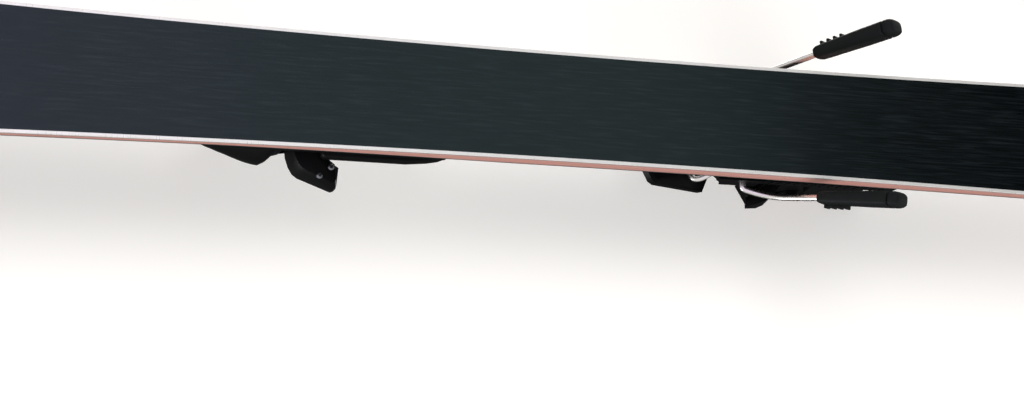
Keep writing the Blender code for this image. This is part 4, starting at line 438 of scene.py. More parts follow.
def shade(mesh, angle=SMOOTH_ANGLE):
    mesh.shade_smooth()
    mesh.set_sharp_from_angle(angle=angle)
    return mesh


def put_in_scene(name, data):
    obj = bpy.data.objects.new(name, data)
    bpy.context.scene.collection.objects.link(obj)
    return obj


def link(name, mesh, look):
    mesh.materials.append(MATERIALS[look])
    return put_in_scene(name, mesh)


def seat(obj, body, look, *nodes):
    """Let a piece ride on a body, and stand for CAD nodes if any are named."""
    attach(obj, body)
    if nodes:
        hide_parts(*nodes)


def mesh_of(work, name):
    """Turn a finished bmesh into a mesh."""
    mesh = bpy.data.meshes.new(name)
    work.to_mesh(mesh)
    work.free()
    return mesh


def closed_mesh(name, rings):
    """Skin rings of equally many points, and cap both ends."""
    count = len(rings[0])
    points = [tuple(p) for ring in rings for p in ring]
    faces = []
    for i in range(len(rings) - 1):
        for j in range(count):
            k = (j + 1) % count
            near, far = i * count, (i + 1) * count
            faces.append((near + j, near + k, far + k, far + j))
    faces.append(tuple(range(count)))
    faces.append(tuple(range((len(rings) - 1) * count, len(rings) * count)))
    mesh = bpy.data.meshes.new(name)
    mesh.from_pydata(points, [], faces)
    work = bmesh.new()
    work.from_mesh(mesh)
    bmesh.ops.recalc_face_normals(work, faces=work.faces)
    work.to_mesh(mesh)
    work.free()
    return mesh


def round_edges(obj, width):
    modifier = obj.modifiers.new("rounded_edges", "BEVEL")
    modifier.width = width
    modifier.segments = ROUNDED_SEGMENTS
    modifier.limit_method = "ANGLE"
    modifier.angle_limit = ROUNDED_ANGLE
    modifier.harden_normals = True


def evaluated_mesh(obj):
    """Mesh of an object as its modifiers, or its text, make it."""
    bpy.context.view_layer.update()
    made = obj.evaluated_get(bpy.context.evaluated_depsgraph_get())
    return bpy.data.meshes.new_from_object(made)


def cut(obj, cutter_mesh):
    """Cut a closed mesh out of a piece."""
    cutter = put_in_scene("cutter", cutter_mesh)
    modifier = obj.modifiers.new("cut", "BOOLEAN")
    modifier.operation = "DIFFERENCE"
    modifier.solver = "EXACT"
    modifier.object = cutter
    mesh = evaluated_mesh(obj)
    obj.modifiers.remove(modifier)
    obj.data = mesh
    bpy.data.objects.remove(cutter)
    shade(mesh)


def box_mesh(name, low, high):
    outline = [(low[0], low[1]), (high[0], low[1]), (high[0], high[1]), (low[0], high[1])]
    return closed_mesh(name, [[(x, y, z) for x, y in outline] for z in (low[2], high[2])])


def blocks(name, boxes, look, body, round_width, origin=(0, 0, 0), axes=None):
    """Rounded blocks as one piece; three axes set them in a slanted frame."""
    turn = Matrix(axes).transposed() if axes else Matrix.Identity(3)
    work = bmesh.new()
    for low, high in boxes:
        size = Vector(high) - Vector(low)
        centre = (Vector(high) + Vector(low)) / 2
        for vertex in bmesh.ops.create_cube(work, size=1.0)["verts"]:
            corner = centre + vertex.co * size
            vertex.co = Vector(origin) + turn @ corner
    obj = link(name, mesh_of(work, name), look)
    round_edges(obj, round_width)
    seat(obj, body, look)


def row_of_ribs(first_x, pitch, count, length, sides, heights):
    """Corners of equal blocks in a row along x; sides are their ends in y."""
    boxes = []
    for i in range(count):
        x = first_x + pitch * i
        boxes.append(((x - length / 2, sides[0], heights[0]), (x + length / 2, sides[1], heights[1])))
    return boxes


def strip(name, stations, look, body, sink=0.0003, proud=0.0004):
    """Thin inlay along x, through stations of (x, right y, left y, height)."""
    rings = [[(x, right, z - sink), (x, left, z - sink), (x, left, z + proud), (x, right, z + proud)]
             for x, right, left, z in stations]
    obj = link(name, closed_mesh(name, rings), look)
    round_edges(obj, min(sink, proud) / 2)
    seat(obj, body, look)


def circle(centre, side, other, radius, sides):
    """Points round a centre, in the plane of two directions."""
    angles = [math.tau * s / sides for s in range(sides)]
    return [centre + (side * math.cos(angle) + other * math.sin(angle)) * radius for angle in angles]


def turned(name, profile, start, direction, look):
    """Turn (distance along the axis, radius) pairs round an axis."""
    along = Vector(direction).normalized()
    side = along.orthogonal().normalized()
    other = along.cross(side)
    rings = [circle(Vector(start) + along * distance, side, other, radius, TURNED_SIDES)
             for distance, radius in profile]
    return link(name, shade(closed_mesh(name, rings)), look)


def wire_piece(name, points, radius, look, sides=WIRE_SIDES):
    """Round wire along a run of points, carried with as little twist as its bends allow."""
    points = [Vector(p) for p in points]
    across = (points[1] - points[0]).orthogonal().normalized()
    rings = []
    for i, point in enumerate(points):
        along = (points[min(i + 1, len(points) - 1)] - points[max(i - 1, 0)]).normalized()
        across = (across - along * across.dot(along)).normalized()
        rings.append(circle(point, across, along.cross(across), radius, sides))
    return link(name, shade(closed_mesh(name, rings), ROUND_SMOOTH_ANGLE), look)


def smooth_loop(points, steps):
    """Closed smooth curve through points, with equally many steps between each two."""
    points = [Vector(p) for p in points]
    count = len(points)
    result = []
    for i in range(count):
        before, start = points[i - 1], points[i]
        end, after = points[(i + 1) % count], points[(i + 2) % count]
        for s in range(steps):
            t = s / steps
            result.append(0.5 * (2 * start + (end - before) * t
                                 + (2 * before - 5 * start + 4 * end - after) * t * t
                                 + (3 * start - before - 3 * end + after) * t ** 3))
    return result


def filleted(corners, radii, shares):
    """Round the inner corners of a route, each with its radius and its share of the room beside it."""
    points = [Vector(corners[0])]
    for before, corner, after, radius, share in zip(corners, corners[1:], corners[2:], radii, shares):
        into = (before - corner).normalized()
        out = (after - corner).normalized()
        room = share * min((before - corner).length, (after - corner).length)
        reach = min(radius / math.tan(into.angle(out) / 2), room)
        first = corner + into * reach
        last = corner + out * reach
        for i in range(FILLET_STEPS + 1):
            t = i / FILLET_STEPS
            points.append((1 - t) ** 2 * first + 2 * t * (1 - t) * corner + t * t * last)
    points.append(Vector(corners[-1]))
    return points


def refined(node, width):
    """Copy of a CAD node with its facets merged and its edges rounded, which stands for that node."""
    name = node + "_skin"
    look = SLOT_OF[node]
    work = bmesh.new()
    work.from_mesh(frame["nodes"][node].data)
    bmesh.ops.remove_doubles(work, verts=work.verts, dist=MERGE_DISTANCE)
    bmesh.ops.dissolve_limit(work, angle_limit=FLAT_ANGLE, verts=work.verts, edges=work.edges)
    obj = link(name, shade(mesh_of(work, name)), look)
    round_edges(obj, width)
    seat(obj, BODY_OF[node], look, node)


# The ski itself

def ski_half_width(x):
    offset = x - WAIST_X
    radius = FRONT_SIDECUT_RADIUS if offset > 0 else REAR_SIDECUT_RADIUS
    tip = clamp01((x - (SKI_TIP_X - TIP_ROUNDING_LENGTH)) / TIP_ROUNDING_LENGTH)
    tail = clamp01(((SKI_TAIL_X + TAIL_ROUNDING_LENGTH) - x) / TAIL_ROUNDING_LENGTH)
    rounding = math.sqrt(max(0.0, 1 - tip ** 3)) * max(0.0, 1 - tail ** 5) ** 0.4
    return (WAIST_WIDTH + offset * offset / radius) / 2 * rounding


def ski_bottom(x):
    if x > FRONT_CONTACT_X:
        rise = ((x - FRONT_CONTACT_X) / (SKI_TIP_X - FRONT_CONTACT_X)) ** 2
        return -CAMBER + (CAMBER + TIP_RISE) * rise
    if x < REAR_CONTACT_X:
        rise = ((REAR_CONTACT_X - x) / (REAR_CONTACT_X - SKI_TAIL_X)) ** 2
        return -CAMBER + (CAMBER + TAIL_RISE) * rise
    if x > FLAT_FRONT_X:
        return -CAMBER * smoothstep((x - FLAT_FRONT_X) / (FRONT_CONTACT_X - FLAT_FRONT_X))
    if x < FLAT_REAR_X:
        return -CAMBER * smoothstep((FLAT_REAR_X - x) / (FLAT_REAR_X - REAR_CONTACT_X))
    return 0.0


def ski_thickness(x):
    if x > FLAT_FRONT_X:
        t = clamp01((x - FLAT_FRONT_X) / (TIP_JOIN_X - FLAT_FRONT_X))
        return lerp(THICKNESS_MIDDLE, THICKNESS_TIP, t ** 0.9)
    t = clamp01((FLAT_REAR_X - x) / (FLAT_REAR_X - TAIL_JOIN_X))
    return lerp(THICKNESS_MIDDLE, THICKNESS_TAIL, t)


def sidewall_fall(t):
    return lerp(smoothstep(t), clamp01(t), SIDEWALL_STRAIGHT_SHARE)


def sidewall_top(x):
    top = SIDEWALL_TOP_MIDDLE
    if x > SIDEWALL_FALL_FRONT_X:
        t = (x - SIDEWALL_FALL_FRONT_X) / (SIDEWALL_LOW_FRONT_X - SIDEWALL_FALL_FRONT_X)
        top = lerp(SIDEWALL_TOP_MIDDLE, SIDEWALL_TOP_FRONT, sidewall_fall(t))
    if x < SIDEWALL_FALL_REAR_X:
        t = (SIDEWALL_FALL_REAR_X - x) / (SIDEWALL_FALL_REAR_X - SIDEWALL_LOW_REAR_X)
        top = lerp(SIDEWALL_TOP_MIDDLE, SIDEWALL_TOP_REAR, sidewall_fall(t))
    return min(top, ski_thickness(x) - CAP_MIN_THICKNESS - LAMINATE_THICKNESS - 2 * LAYER_GAP)


def sweep(name, section, look, node, side=1):
    """Carry a cross-section of (y, height above the running surface) pairs along the ski."""
    count = round((TIP_JOIN_X - TAIL_JOIN_X) / FINE_STEP)
    rings = []
    for i in range(count + 1):
        x = lerp(TAIL_JOIN_X, TIP_JOIN_X, i / count)
        rings.append([(x, side * y, ski_bottom(x) + z) for y, z in section(x)])
    seat(link(name, shade(closed_mesh(name, rings)), look), "ski", look, node)


def rectangle(half_width, low, high):
    return [(-half_width, low), (half_width, low), (half_width, high), (-half_width, high)]


def base_section(x):
    return rectangle(ski_half_width(x) - EDGE_WIDTH, 0.0, EDGE_TOP)


def lower_laminate_section(x):
    return rectangle(ski_half_width(x) - SHEET_INSET, EDGE_TOP, LAMINATE_TOP)


def upper_laminate_section(x):
    low = sidewall_top(x)
    return rectangle(ski_half_width(x) - SHEET_INSET, low, low + 2 * LAYER_GAP + LAMINATE_THICKNESS)


def edge_section(x):
    """Steel edge of the left side, its lower corner ground off."""
    outer = ski_half_width(x)
    inner = outer - EDGE_WIDTH
    return [(inner, -EDGE_STAND), (outer - EDGE_CHAMFER, -EDGE_STAND), (outer, EDGE_CHAMFER),
            (outer, EDGE_TOP), (inner, EDGE_TOP)]


def sidewall_section(x):
    """Sidewall of the left side, with broken corners."""
    outer = ski_half_width(x)
    inner = outer - SIDEWALL_WIDTH
    rim = outer - SIDEWALL_CHAMFER
    top = sidewall_top(x)
    return [(inner, LAMINATE_TOP), (rim, LAMINATE_TOP), (outer, LAMINATE_TOP + SIDEWALL_FOOT),
            (outer, top - SIDEWALL_HEAD), (rim, top), (inner, top)]


def cap_section(x):
    """Cross-section of the topsheet: upright rim, rounded shoulders, flat top."""
    outer = ski_half_width(x)
    low = sidewall_top(x) + LAMINATE_THICKNESS + 2 * LAYER_GAP
    drop = ski_thickness(x) + CAP_STAND - low - CAP_LIP
    right = [(outer, low)]
    for i in range(CAP_SHOULDER_STEPS + 1):
        t = i / CAP_SHOULDER_STEPS
        angle = math.pi / 2 * t
        inset = lerp(t, 1 - math.cos(angle), CAP_SHOULDER_ROUNDNESS)
        rise = lerp(t, math.sin(angle), CAP_SHOULDER_ROUNDNESS)
        right.append((outer - drop * inset, low + CAP_LIP + drop * rise))
    return right + [(-y, z) for y, z in reversed(right)]


def end_ring(x, half_width, thickness):
    """Flat cross-section of the ski's nose or tail, with round sides."""
    radius = thickness * END_RIM_SHARE
    middle = ski_bottom(x) + thickness / 2
    ring = []
    for quarter, (side, level) in enumerate(((1, -1), (1, 1), (-1, 1), (-1, -1)), -1):
        for k in range(END_RIM_STEPS + 1):
            angle = math.pi / 2 * (quarter + k / END_RIM_STEPS)
            ring.append((x, side * (half_width - radius) + radius * math.cos(angle),
                         middle + level * (thickness / 2 - radius) + radius * math.sin(angle)))
    return ring


def make_ski_end(name, join_x, end_x, thickness, node):
    """Plastic nose or tail with a full round rim."""
    rings = []
    for i in range(END_STEPS + 1):
        t = i / END_STEPS
        x = lerp(join_x, end_x, 1 - (1 - t) ** 2)
        if i == END_STEPS:
            x = lerp(x, join_x, END_DRAW_BACK)
        half_width = max(ski_half_width(x), END_MIN_HALF_WIDTH)
        rings.append(end_ring(x, half_width, thickness * lerp(1.0, END_THINNING, smoothstep(t))))
    guard = link(name, shade(closed_mesh(name, rings), ROUND_SMOOTH_ANGLE), "black_plastic")
    seat(guard, "ski", "black_plastic", node)


def make_ski():
    sweep("base_sheet", base_section, "base", "running_base")
    sweep("lower_sheet", lower_laminate_section, "laminate", "lower_laminate")
    sweep("upper_sheet", upper_laminate_section, "laminate", "upper_laminate")
    for word, side in SIDES:
        sweep("steel_edge_" + word, edge_section, "edge", "edge_" + word, side)
        sweep("sidewall_strip_" + word, sidewall_section, "coral", "sidewall_" + word, side)
    sweep("top_cap", cap_section, "topsheet", "topsheet")
    make_ski_end("nose_guard", TIP_JOIN_X, SKI_TIP_X, THICKNESS_TIP, "tip_protector")
    make_ski_end("tail_guard", TAIL_JOIN_X, SKI_TAIL_X, THICKNESS_TAIL, "tail_protector")


# Binding and brake: how wide the edges of each CAD form are rounded

REFINED_NODES = {
    "toe_riser": 0.0008, "heel_riser": 0.0008, "toe_plate": 0.0006, "toe_housing": 0.0008,
    "toe_cover": 0.0006, "toe_window": 0.0003, "toe_wing_left": 0.0007, "toe_wing_right": 0.0007,
    "toe_piston": 0.0003, "toe_spring_nut": 0.0003, "heel_piston": 0.0003, "heel_spring_nut": 0.0003,
    "heel_pressure_screw": 0.0002, "afd_base": 0.0006, "afd_slider": 0.0004, "heel_track": 0.0005,
    "heel_carriage": 0.0008, "heel_jaw": 0.0008, "heel_lever": 0.0007, "brake_base": 0.0007,
    "brake_pedal": 0.0007,
}


def make_refined():
    for node, width in REFINED_NODES.items():
        refined(node, width)


# Pins and screws

PIN_CHAMFER = 0.0004
HEAD_CHAMFER = 0.0007
RECESS_REACH_SHARE = 0.52       # of the head's radius
RECESS_ARM_SHARE = 0.15
RECESS_DEPTH = 0.0014
RECESS_OVERCUT = 0.0008
SCREW_CORE_RADIUS = 0.00275
SLOT_HALF_WIDTH = 0.0009
SLOT_DEPTH = 0.0020
SLOT_REACH = 0.02


def fine_pin(node, axis):
    """Round pin with chamfered ends, along axis 0, 1 or 2, in place of the CAD pin."""
    low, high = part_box(node)
    size = high - low
    start = (low + high) / 2
    start[axis] = low[axis]
    direction = Vector((0, 0, 0))
    direction[axis] = 1
    radius = max(size[(axis + 1) % 3], size[(axis + 2) % 3]) / 2
    profile = [(0, radius - PIN_CHAMFER), (PIN_CHAMFER, radius), (size[axis] - PIN_CHAMFER, radius),
               (size[axis], radius - PIN_CHAMFER)]
    pin = turned(node + "_fine", profile, start, direction, "zinc_steel")
    seat(pin, BODY_OF[node], "zinc_steel", node)


def recess_mesh(place, direction, head_radius):
    """Cross-shaped recess that narrows as it goes in."""
    along = Vector(direction).normalized()
    side = along.orthogonal().normalized()
    other = along.cross(side)
    reach = head_radius * RECESS_REACH_SHARE
    arm = head_radius * RECESS_ARM_SHARE
    outline = []
    for turns in range(4):
        for x, y in ((arm, arm), (arm, reach), (-arm, reach)):
            for _ in range(turns):
                x, y = -y, x
            outline.append((x, y))
    rings = []
    for level, share in ((-RECESS_DEPTH, 0.6), (RECESS_OVERCUT, 1.1)):
        rings.append([Vector(place) + along * level + (side * x + other * y) * share for x, y in outline])
    return closed_mesh("recess", rings)


def screw_with_recess(name, profile, place, direction, head_height, radius, look):
    screw = turned(name, profile, place, direction, look)
    top = Vector(place) + Vector(direction).normalized() * head_height
    cut(screw, recess_mesh(top, direction, radius))
    return screw


def make_mounting_screws():
    """Countersunk screws that hold the toe plate and the heel track on the ski."""
    for node in [f"{end}_screw_{i}" for end in ("toe", "heel") for i in range(1, 5)]:
        low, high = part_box(node)
        radius = (high.x - low.x) / 2
        length = high.z - low.z
        profile = [(-length, 0.0006), (-length + 0.0027, SCREW_CORE_RADIUS), (-0.0026, SCREW_CORE_RADIUS),
                   (-0.0008, radius), (-0.0002, radius), (0.0, radius - 0.0003)]
        place = ((low.x + high.x) / 2, (low.y + high.y) / 2, high.z)
        screw = screw_with_recess(node + "_fine", profile, place, (0, 0, 1), 0.0, radius, "zinc_steel")
        seat(screw, BODY_OF[node], "zinc_steel", node)


def make_wing_screws():
    """Two pan-head screws under each wing."""
    radius, height = 0.0020, 0.0011
    profile = [(-0.0016, radius * 0.7), (0.0, radius), (height * 0.45, radius * 0.97),
               (height * 0.8, radius * 0.80), (height, radius * 0.50)]
    for word, side in SIDES:
        for i, (x, y) in enumerate(WING_SCREWS, 1):
            name = f"wing_screw_{word}_{i}"
            place = (x, side * y, WING_BOTTOM)
            screw = screw_with_recess(name, profile, place, (0, 0, -1), height, radius, "dark_steel")
            seat(screw, "wing_" + word, "dark_steel")


def fine_value_screw(node, way, shaft_radius, head_length):
    """Adjusting screw with a slotted head; way is 1 where the head faces the tip, -1 the tail."""
    low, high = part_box(node)
    radius = (high.z - low.z) / 2
    length = high.x - low.x
    shaft = length - head_length
    start = Vector((low.x if way > 0 else high.x, 0.0, (low.z + high.z) / 2))
    profile = [(0, shaft_radius - PIN_CHAMFER), (PIN_CHAMFER, shaft_radius), (shaft, shaft_radius),
               (shaft, radius), (length - HEAD_CHAMFER, radius), (length, radius - HEAD_CHAMFER)]
    screw = turned(node + "_fine", profile, start, (way, 0, 0), "zinc_steel")
    front = start.x + way * length
    slot_low = (front - SLOT_DEPTH, -SLOT_REACH, start.z - SLOT_HALF_WIDTH)
    slot_high = (front + SLOT_DEPTH, SLOT_REACH, start.z + SLOT_HALF_WIDTH)
    cut(screw, box_mesh("slot", slot_low, slot_high))
    seat(screw, BODY_OF[node], "zinc_steel", node)


def make_pins_and_screws():
    for node, axis in (("toe_wing_pin_left", 2), ("toe_wing_pin_right", 2), ("heel_jaw_pin", 1),
                       ("heel_lever_pin", 1), ("brake_spring_pin", 1)):
        fine_pin(node, axis)
    fine_value_screw("toe_value_screw", 1, shaft_radius=0.0026, head_length=0.0060)
    fine_value_screw("heel_value_screw", -1, shaft_radius=0.0028, head_length=0.0055)
    make_mounting_screws()
    make_wing_screws()


# Springs

def coil_points(start, end, radius, curls):
    """Helix round the line from start to end."""
    along = end - start
    side = along.orthogonal().normalized()
    curl = circle(start, side, along.normalized().cross(side), radius, COIL_STEPS)
    count = curls * COIL_STEPS
    return [curl[i % COIL_STEPS] + along * (i / count) for i in range(count + 1)]


def make_spring(node, start, end, radius, wire, curls):
    """Wound wire in place of a CAD spring."""
    points = coil_points(start, end, radius, curls)
    spring = wire_piece(node + "_coil", points, wire, "wire", SPRING_WIRE_SIDES)
    seat(spring, BODY_OF[node], "wire", node)
    return spring


def make_compression_spring(node, rear, front, height, radius, wire, curls):
    """Spring along x between a rear and a front end, with its own copy of the mesh."""
    ends = [Vector((x, 0, height)) for x in (rear + wire, front - wire)]
    spring = make_spring(node, *ends, radius, wire, curls)
    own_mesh(spring)


def make_springs():
    make_compression_spring("toe_spring", rear=0.1767, front=0.2037, height=0.0478, radius=0.0061,
                            wire=0.0010, curls=7)
    make_compression_spring("heel_spring", rear=-0.1977, front=-0.1736, height=0.0780, radius=0.0069,
                            wire=0.0012, curls=6)
    half = Vector((0, 0.0144, 0))
    make_spring("brake_spring", BRAKE_AXLE - half, BRAKE_AXLE + half, radius=0.0042, wire=0.0009, curls=9)


# Toe piece

SCALE_X = (0.1857, 0.1973)
SCALE_HALF_WIDTH = 0.0043
PRINT_PROUD = 0.00014
TICK_REAR_X = 0.1865
TICK_PITCH = 0.0020
TICK_RIGHT_Y = -0.0040
TICK_LEFT_Y = (-0.0005, -0.0020)        # of the long and the short ticks in turn
TICK_WIDTH = 0.0003
NUMBERS = (("4", 0.1875), ("6", 0.1915), ("8", 0.1955))
NUMBER_Y = 0.0022
NUMBER_SIZE = 0.0028
NUMBER_HALF_THICKNESS = 0.00004
COVER_INLAY_X = (0.2015, 0.2235)
COVER_INLAY_INNER_Y = 0.0016
COVER_INLAY_OUTER_Y = (0.0115, 0.0062)


def toe_roof(x):
    return lerp(TOE_SLOT_TOP, TOE_NOSE_TOP, smoothstep((x - TOE_SLOT_X) / (TOE_NOSE_X - TOE_SLOT_X)))


def number(name, text, place):
    """Plain printed number, read from behind the binding."""
    curve = bpy.data.curves.new(name, "FONT")
    curve.body = text
    curve.size = NUMBER_SIZE
    curve.extrude = NUMBER_HALF_THICKNESS
    curve.align_x = curve.align_y = "CENTER"
    obj = put_in_scene(name + "_text", curve)
    mesh = evaluated_mesh(obj)
    bpy.data.objects.remove(obj)
    pose = Matrix(((0, 1, 0), (-1, 0, 0), (0, 0, 1))).to_4x4()
    pose.translation = Vector(place)
    mesh.transform(pose)
    seat(link(name, mesh, "black_print"), "ski", "black_print")


def make_release_scale():
    """White plate under the window, with ticks and three numbers."""
    steps = 6
    stations = [lerp(*SCALE_X, i / steps) for i in range(steps + 1)]
    plate = [(x, -SCALE_HALF_WIDTH, SCALE_HALF_WIDTH, toe_roof(x)) for x in stations]
    strip("scale_plate", plate, "white_print", "ski", sink=0.0002, proud=0.00008)
    for i in range(6):
        rear = TICK_REAR_X + TICK_PITCH * i
        tick = [(x, TICK_RIGHT_Y, TICK_LEFT_Y[i % 2], toe_roof(x)) for x in (rear, rear + TICK_WIDTH)]
        strip(f"scale_tick_{i}", tick, "black_print", "ski", sink=0.0001, proud=PRINT_PROUD)
    for text, x in NUMBERS:
        number(f"scale_number_{text}", text, (x, NUMBER_Y, toe_roof(x) + PRINT_PROUD))


def make_cover_inlays():
    """Coral inlays on both sides of the toe cover's middle, narrower towards the nose."""
    steps = 8
    for word, side in SIDES:
        rows = []
        for i in range(steps + 1):
            x = lerp(*COVER_INLAY_X, i / steps)
            outer = lerp(*COVER_INLAY_OUTER_Y, i / steps)
            right, left = sorted((side * COVER_INLAY_INNER_Y, side * outer))
            rows.append((x, right, left, toe_roof(x) + GAP + TOE_COVER_THICKNESS))
        strip("cover_inlay_" + word, rows, "accent", "ski")


def make_afd_details():
    """Low ridges that the boot toe slides with."""
    pitch, half_width, height, inset = 0.0070, 0.0009, 0.0003, 0.0060
    low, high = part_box("afd_slider")
    ridges = [((low.x + inset, pitch * i - half_width, high.z - height),
               (high.x - inset, pitch * i + half_width, high.z + height)) for i in range(-3, 4)]
    blocks("afd_ridges", ridges, "white_plastic", "afd_plate", round_width=0.00025)


def make_toe_piece():
    make_release_scale()
    make_cover_inlays()
    make_afd_details()


# Heel piece

LEVER_INLAY_X = (-0.1870, -0.2170)
LEVER_INLAY_HALF_WIDTH = (0.0125, 0.0085)
LEVER_INLAY_ROUND_SHARE = 0.2   # share of its length that the rounded end takes
LEVER_INLAY_END_SHARE = 0.04    # square of the width that is left at the end
LEVER_GRIP_X = -0.2400


def lever_top(x):
    return LEVER_TOP_Z + (LEVER_PIN_X - x) * LEVER_TOP_SLOPE


def tilted_axes(angle):
    """Axes of a frame that is tilted round y, its first axis down by the angle."""
    return ((math.cos(angle), 0, -math.sin(angle)), (0, 1, 0), (math.sin(angle), 0, math.cos(angle)))


def make_lever_inlay():
    """Coral inlay with a rounded end."""
    steps = 12
    rows = []
    for i in range(steps + 1):
        t = i / steps
        x = lerp(*LEVER_INLAY_X, t)
        into_end = max(0.0, (t - (1 - LEVER_INLAY_ROUND_SHARE)) / LEVER_INLAY_ROUND_SHARE)
        rounding = math.sqrt(max(LEVER_INLAY_END_SHARE, 1 - into_end ** 2))
        half = lerp(*LEVER_INLAY_HALF_WIDTH, t) * rounding
        rows.append((x, -half, half, lever_top(x)))
    strip("lever_inlay", rows, "accent", "lever")


def make_lever_grip():
    """Grip ribs behind the dimple for the pole."""
    ribs = row_of_ribs(first_x=-0.0001, pitch=-0.0020, count=4, length=0.0010, sides=(-0.0170, 0.0170),
                       heights=(-0.0004, 0.0006))
    origin = (LEVER_GRIP_X, 0, lever_top(LEVER_GRIP_X))
    axes = tilted_axes(math.atan(LEVER_TOP_SLOPE))
    blocks("lever_grip", ribs, "grey_plastic", "lever", round_width=0.0003, origin=origin, axes=axes)


def make_carriage_details():
    """Upright ribs along both flanks of the carriage."""
    ribs = []
    for _, side in SIDES:
        ribs += row_of_ribs(first_x=-0.1400, pitch=-0.0060, count=14, length=0.0020,
                            sides=sorted((side * 0.0317, side * 0.0325)), heights=(0.0330, 0.0395))
    blocks("carriage_ribs", ribs, "black_plastic", "carriage", round_width=0.0003)


def make_heel_piece():
    make_lever_inlay()
    make_lever_grip()
    make_carriage_details()


# Brake

# Shares of the pad's length, half thickness and half depth, and its outline in shares of the last two
PAD_STATIONS = (
    (0.0, 0.56, 0.54), (0.012, 0.68, 0.66), (0.05, 0.82, 0.80), (0.15, 0.86, 0.86),
    (0.30, 0.88, 0.90), (0.60, 0.97, 0.97), (0.84, 0.995, 0.995), (0.864, 1.0, 1.0),
    (0.870, 0.96, 0.97), (0.874, 0.80, 0.84), (0.888, 0.80, 0.84), (0.892, 0.96, 0.97),
    (0.898, 1.0, 1.0), (0.94, 0.985, 0.985), (0.968, 0.92, 0.93), (0.988, 0.80, 0.84),
    (1.0, 0.58, 0.64),
)
PAD_SECTION = (
    (1.0, -0.45), (1.0, 0.45), (0.84, 0.80), (0.48, 1.0), (-0.48, 1.0), (-0.84, 0.80),
    (-1.0, 0.45), (-1.0, -0.45), (-0.84, -0.80), (-0.48, -1.0), (0.48, -1.0), (0.84, -0.80),
)
PAD_LOOP_STEPS = 4
PAD_SMOOTH_ANGLE = math.radians(38)
TOOTH_FIRST_SHARE = 0.085
TOOTH_PITCH_SHARE = 0.082
TOOTH_LENGTH = 0.0018
TOOTH_REACH = 0.0026
TOOTH_HALF_DEPTH = 0.0030


def from_axle(offset, side):
    """Place beside the brake's axle; the offset is the left side's."""
    return BRAKE_AXLE + Vector((offset[0], side * offset[1], offset[2]))


def pad_frame(side):
    """Start, length and the along, outward and depth directions of a pad."""
    start = from_axle(PAD_START, side)
    end = from_axle(PAD_END, side)
    along = (end - start).normalized()
    outward = Vector((0, side, 0))
    outward = (outward - along * outward.dot(along)).normalized()
    return start, (end - start).length, along, outward, along.cross(outward)


def wire_half(side):
    """Route of the brake wire from inside a pad, over the axle, to the middle of the crossbar."""
    start, _, along, _, _ = pad_frame(side)
    corners = [
        start + along * WIRE_IN_PAD,
        start,
        from_axle(WIRE_KNEE, side),
        from_axle((0, WIRE_AXLE_OUTER_Y, 0), side),
        from_axle((0, WIRE_AXLE_INNER_Y, 0), side),
        BRAKE_AXLE.lerp(CROSSBAR, WIRE_UPRIGHT_SHARE) + Vector((0, side * WIRE_AXLE_INNER_Y, 0)),
        CROSSBAR + Vector((0, side * CROSSBAR_HALF_WIDTH, 0)),
        CROSSBAR,
    ]
    radii = [2 * WIRE_BEND_RADIUS, SWEEP_BEND_RADIUS] + [WIRE_BEND_RADIUS] * 3 + [CROSSBAR_BEND_RADIUS]
    shares = [0.45, 0.80, 0.18, 0.45, 0.45, 0.78]
    return filleted(corners, radii, shares)


def make_brake_wire():
    """Bent wire from pad to pad, with its crossbar under the pedal."""
    points = wire_half(1) + list(reversed(wire_half(-1)))[1:]
    wire = wire_piece("bent_brake_wire", points, WIRE_RADIUS, "wire")
    seat(wire, "brake_arms", "wire", "brake_wire")


def make_brake_pad(word, side):
    """Rubber pad with a neck, a groove before its end cap and teeth on its outer face."""
    start, length, along, outward, depth = pad_frame(side)
    rings = []
    for t, thick, deep in PAD_STATIONS:
        centre = start + along * (t * length)
        half_out = outward * (PAD_HALF_THICKNESS * thick)
        half_deep = depth * (PAD_HALF_DEPTH * deep)
        corners = [centre + half_out * u + half_deep * v for u, v in PAD_SECTION]
        rings.append(smooth_loop(corners, PAD_LOOP_STEPS))
    name = "pad_rubber_" + word
    pad = link(name, shade(closed_mesh(name, rings), PAD_SMOOTH_ANGLE), "rubber")
    seat(pad, "brake_arms", "rubber", "brake_pad_" + word)
    teeth = []
    for i in range(4):
        near = length * (TOOTH_FIRST_SHARE + TOOTH_PITCH_SHARE * i)
        reach = PAD_HALF_THICKNESS * (0.84 + 0.015 * i) + TOOTH_REACH
        teeth.append(((near, 0.0, -TOOTH_HALF_DEPTH), (near + TOOTH_LENGTH, reach, TOOTH_HALF_DEPTH)))
    blocks("pad_teeth_" + word, teeth, "rubber", "brake_arms", round_width=0.0006, origin=start,
           axes=(along, outward, depth))


def make_pedal_details():
    """Grip ribs across the top of the pedal."""
    ribs = row_of_ribs(first_x=-0.0135, pitch=0.0065, count=7, length=0.0018, sides=(-0.0262, 0.0262),
                       heights=(PEDAL_TOP - 0.0004, PEDAL_TOP + 0.0009))
    blocks("pedal_ribs", ribs, "black_plastic", "pedal", round_width=0.0004, origin=CROSSBAR,
           axes=tilted_axes(PEDAL_TILT))


def make_base_details():
    """Stiffening ribs across the tongue under the pedal."""
    ribs = row_of_ribs(first_x=-0.0760, pitch=0.0050, count=3, length=0.0016, sides=(-0.0205, 0.0205),
                       heights=(0.0309, 0.0320))
    blocks("tongue_ribs", ribs, "black_plastic", "carriage", round_width=0.0004)


def make_brake():
    make_brake_wire()
    for word, side in SIDES:
        make_brake_pad(word, side)
    make_pedal_details()
    make_base_details()


def paint_remaining_nodes():
    """CAD nodes that keep their own mesh get their slot's material."""
    for name, obj in frame["nodes"].items():
        obj.data.materials.clear()
        obj.data.materials.append(MATERIALS[SLOT_OF[name]])


# Camera, light and stage

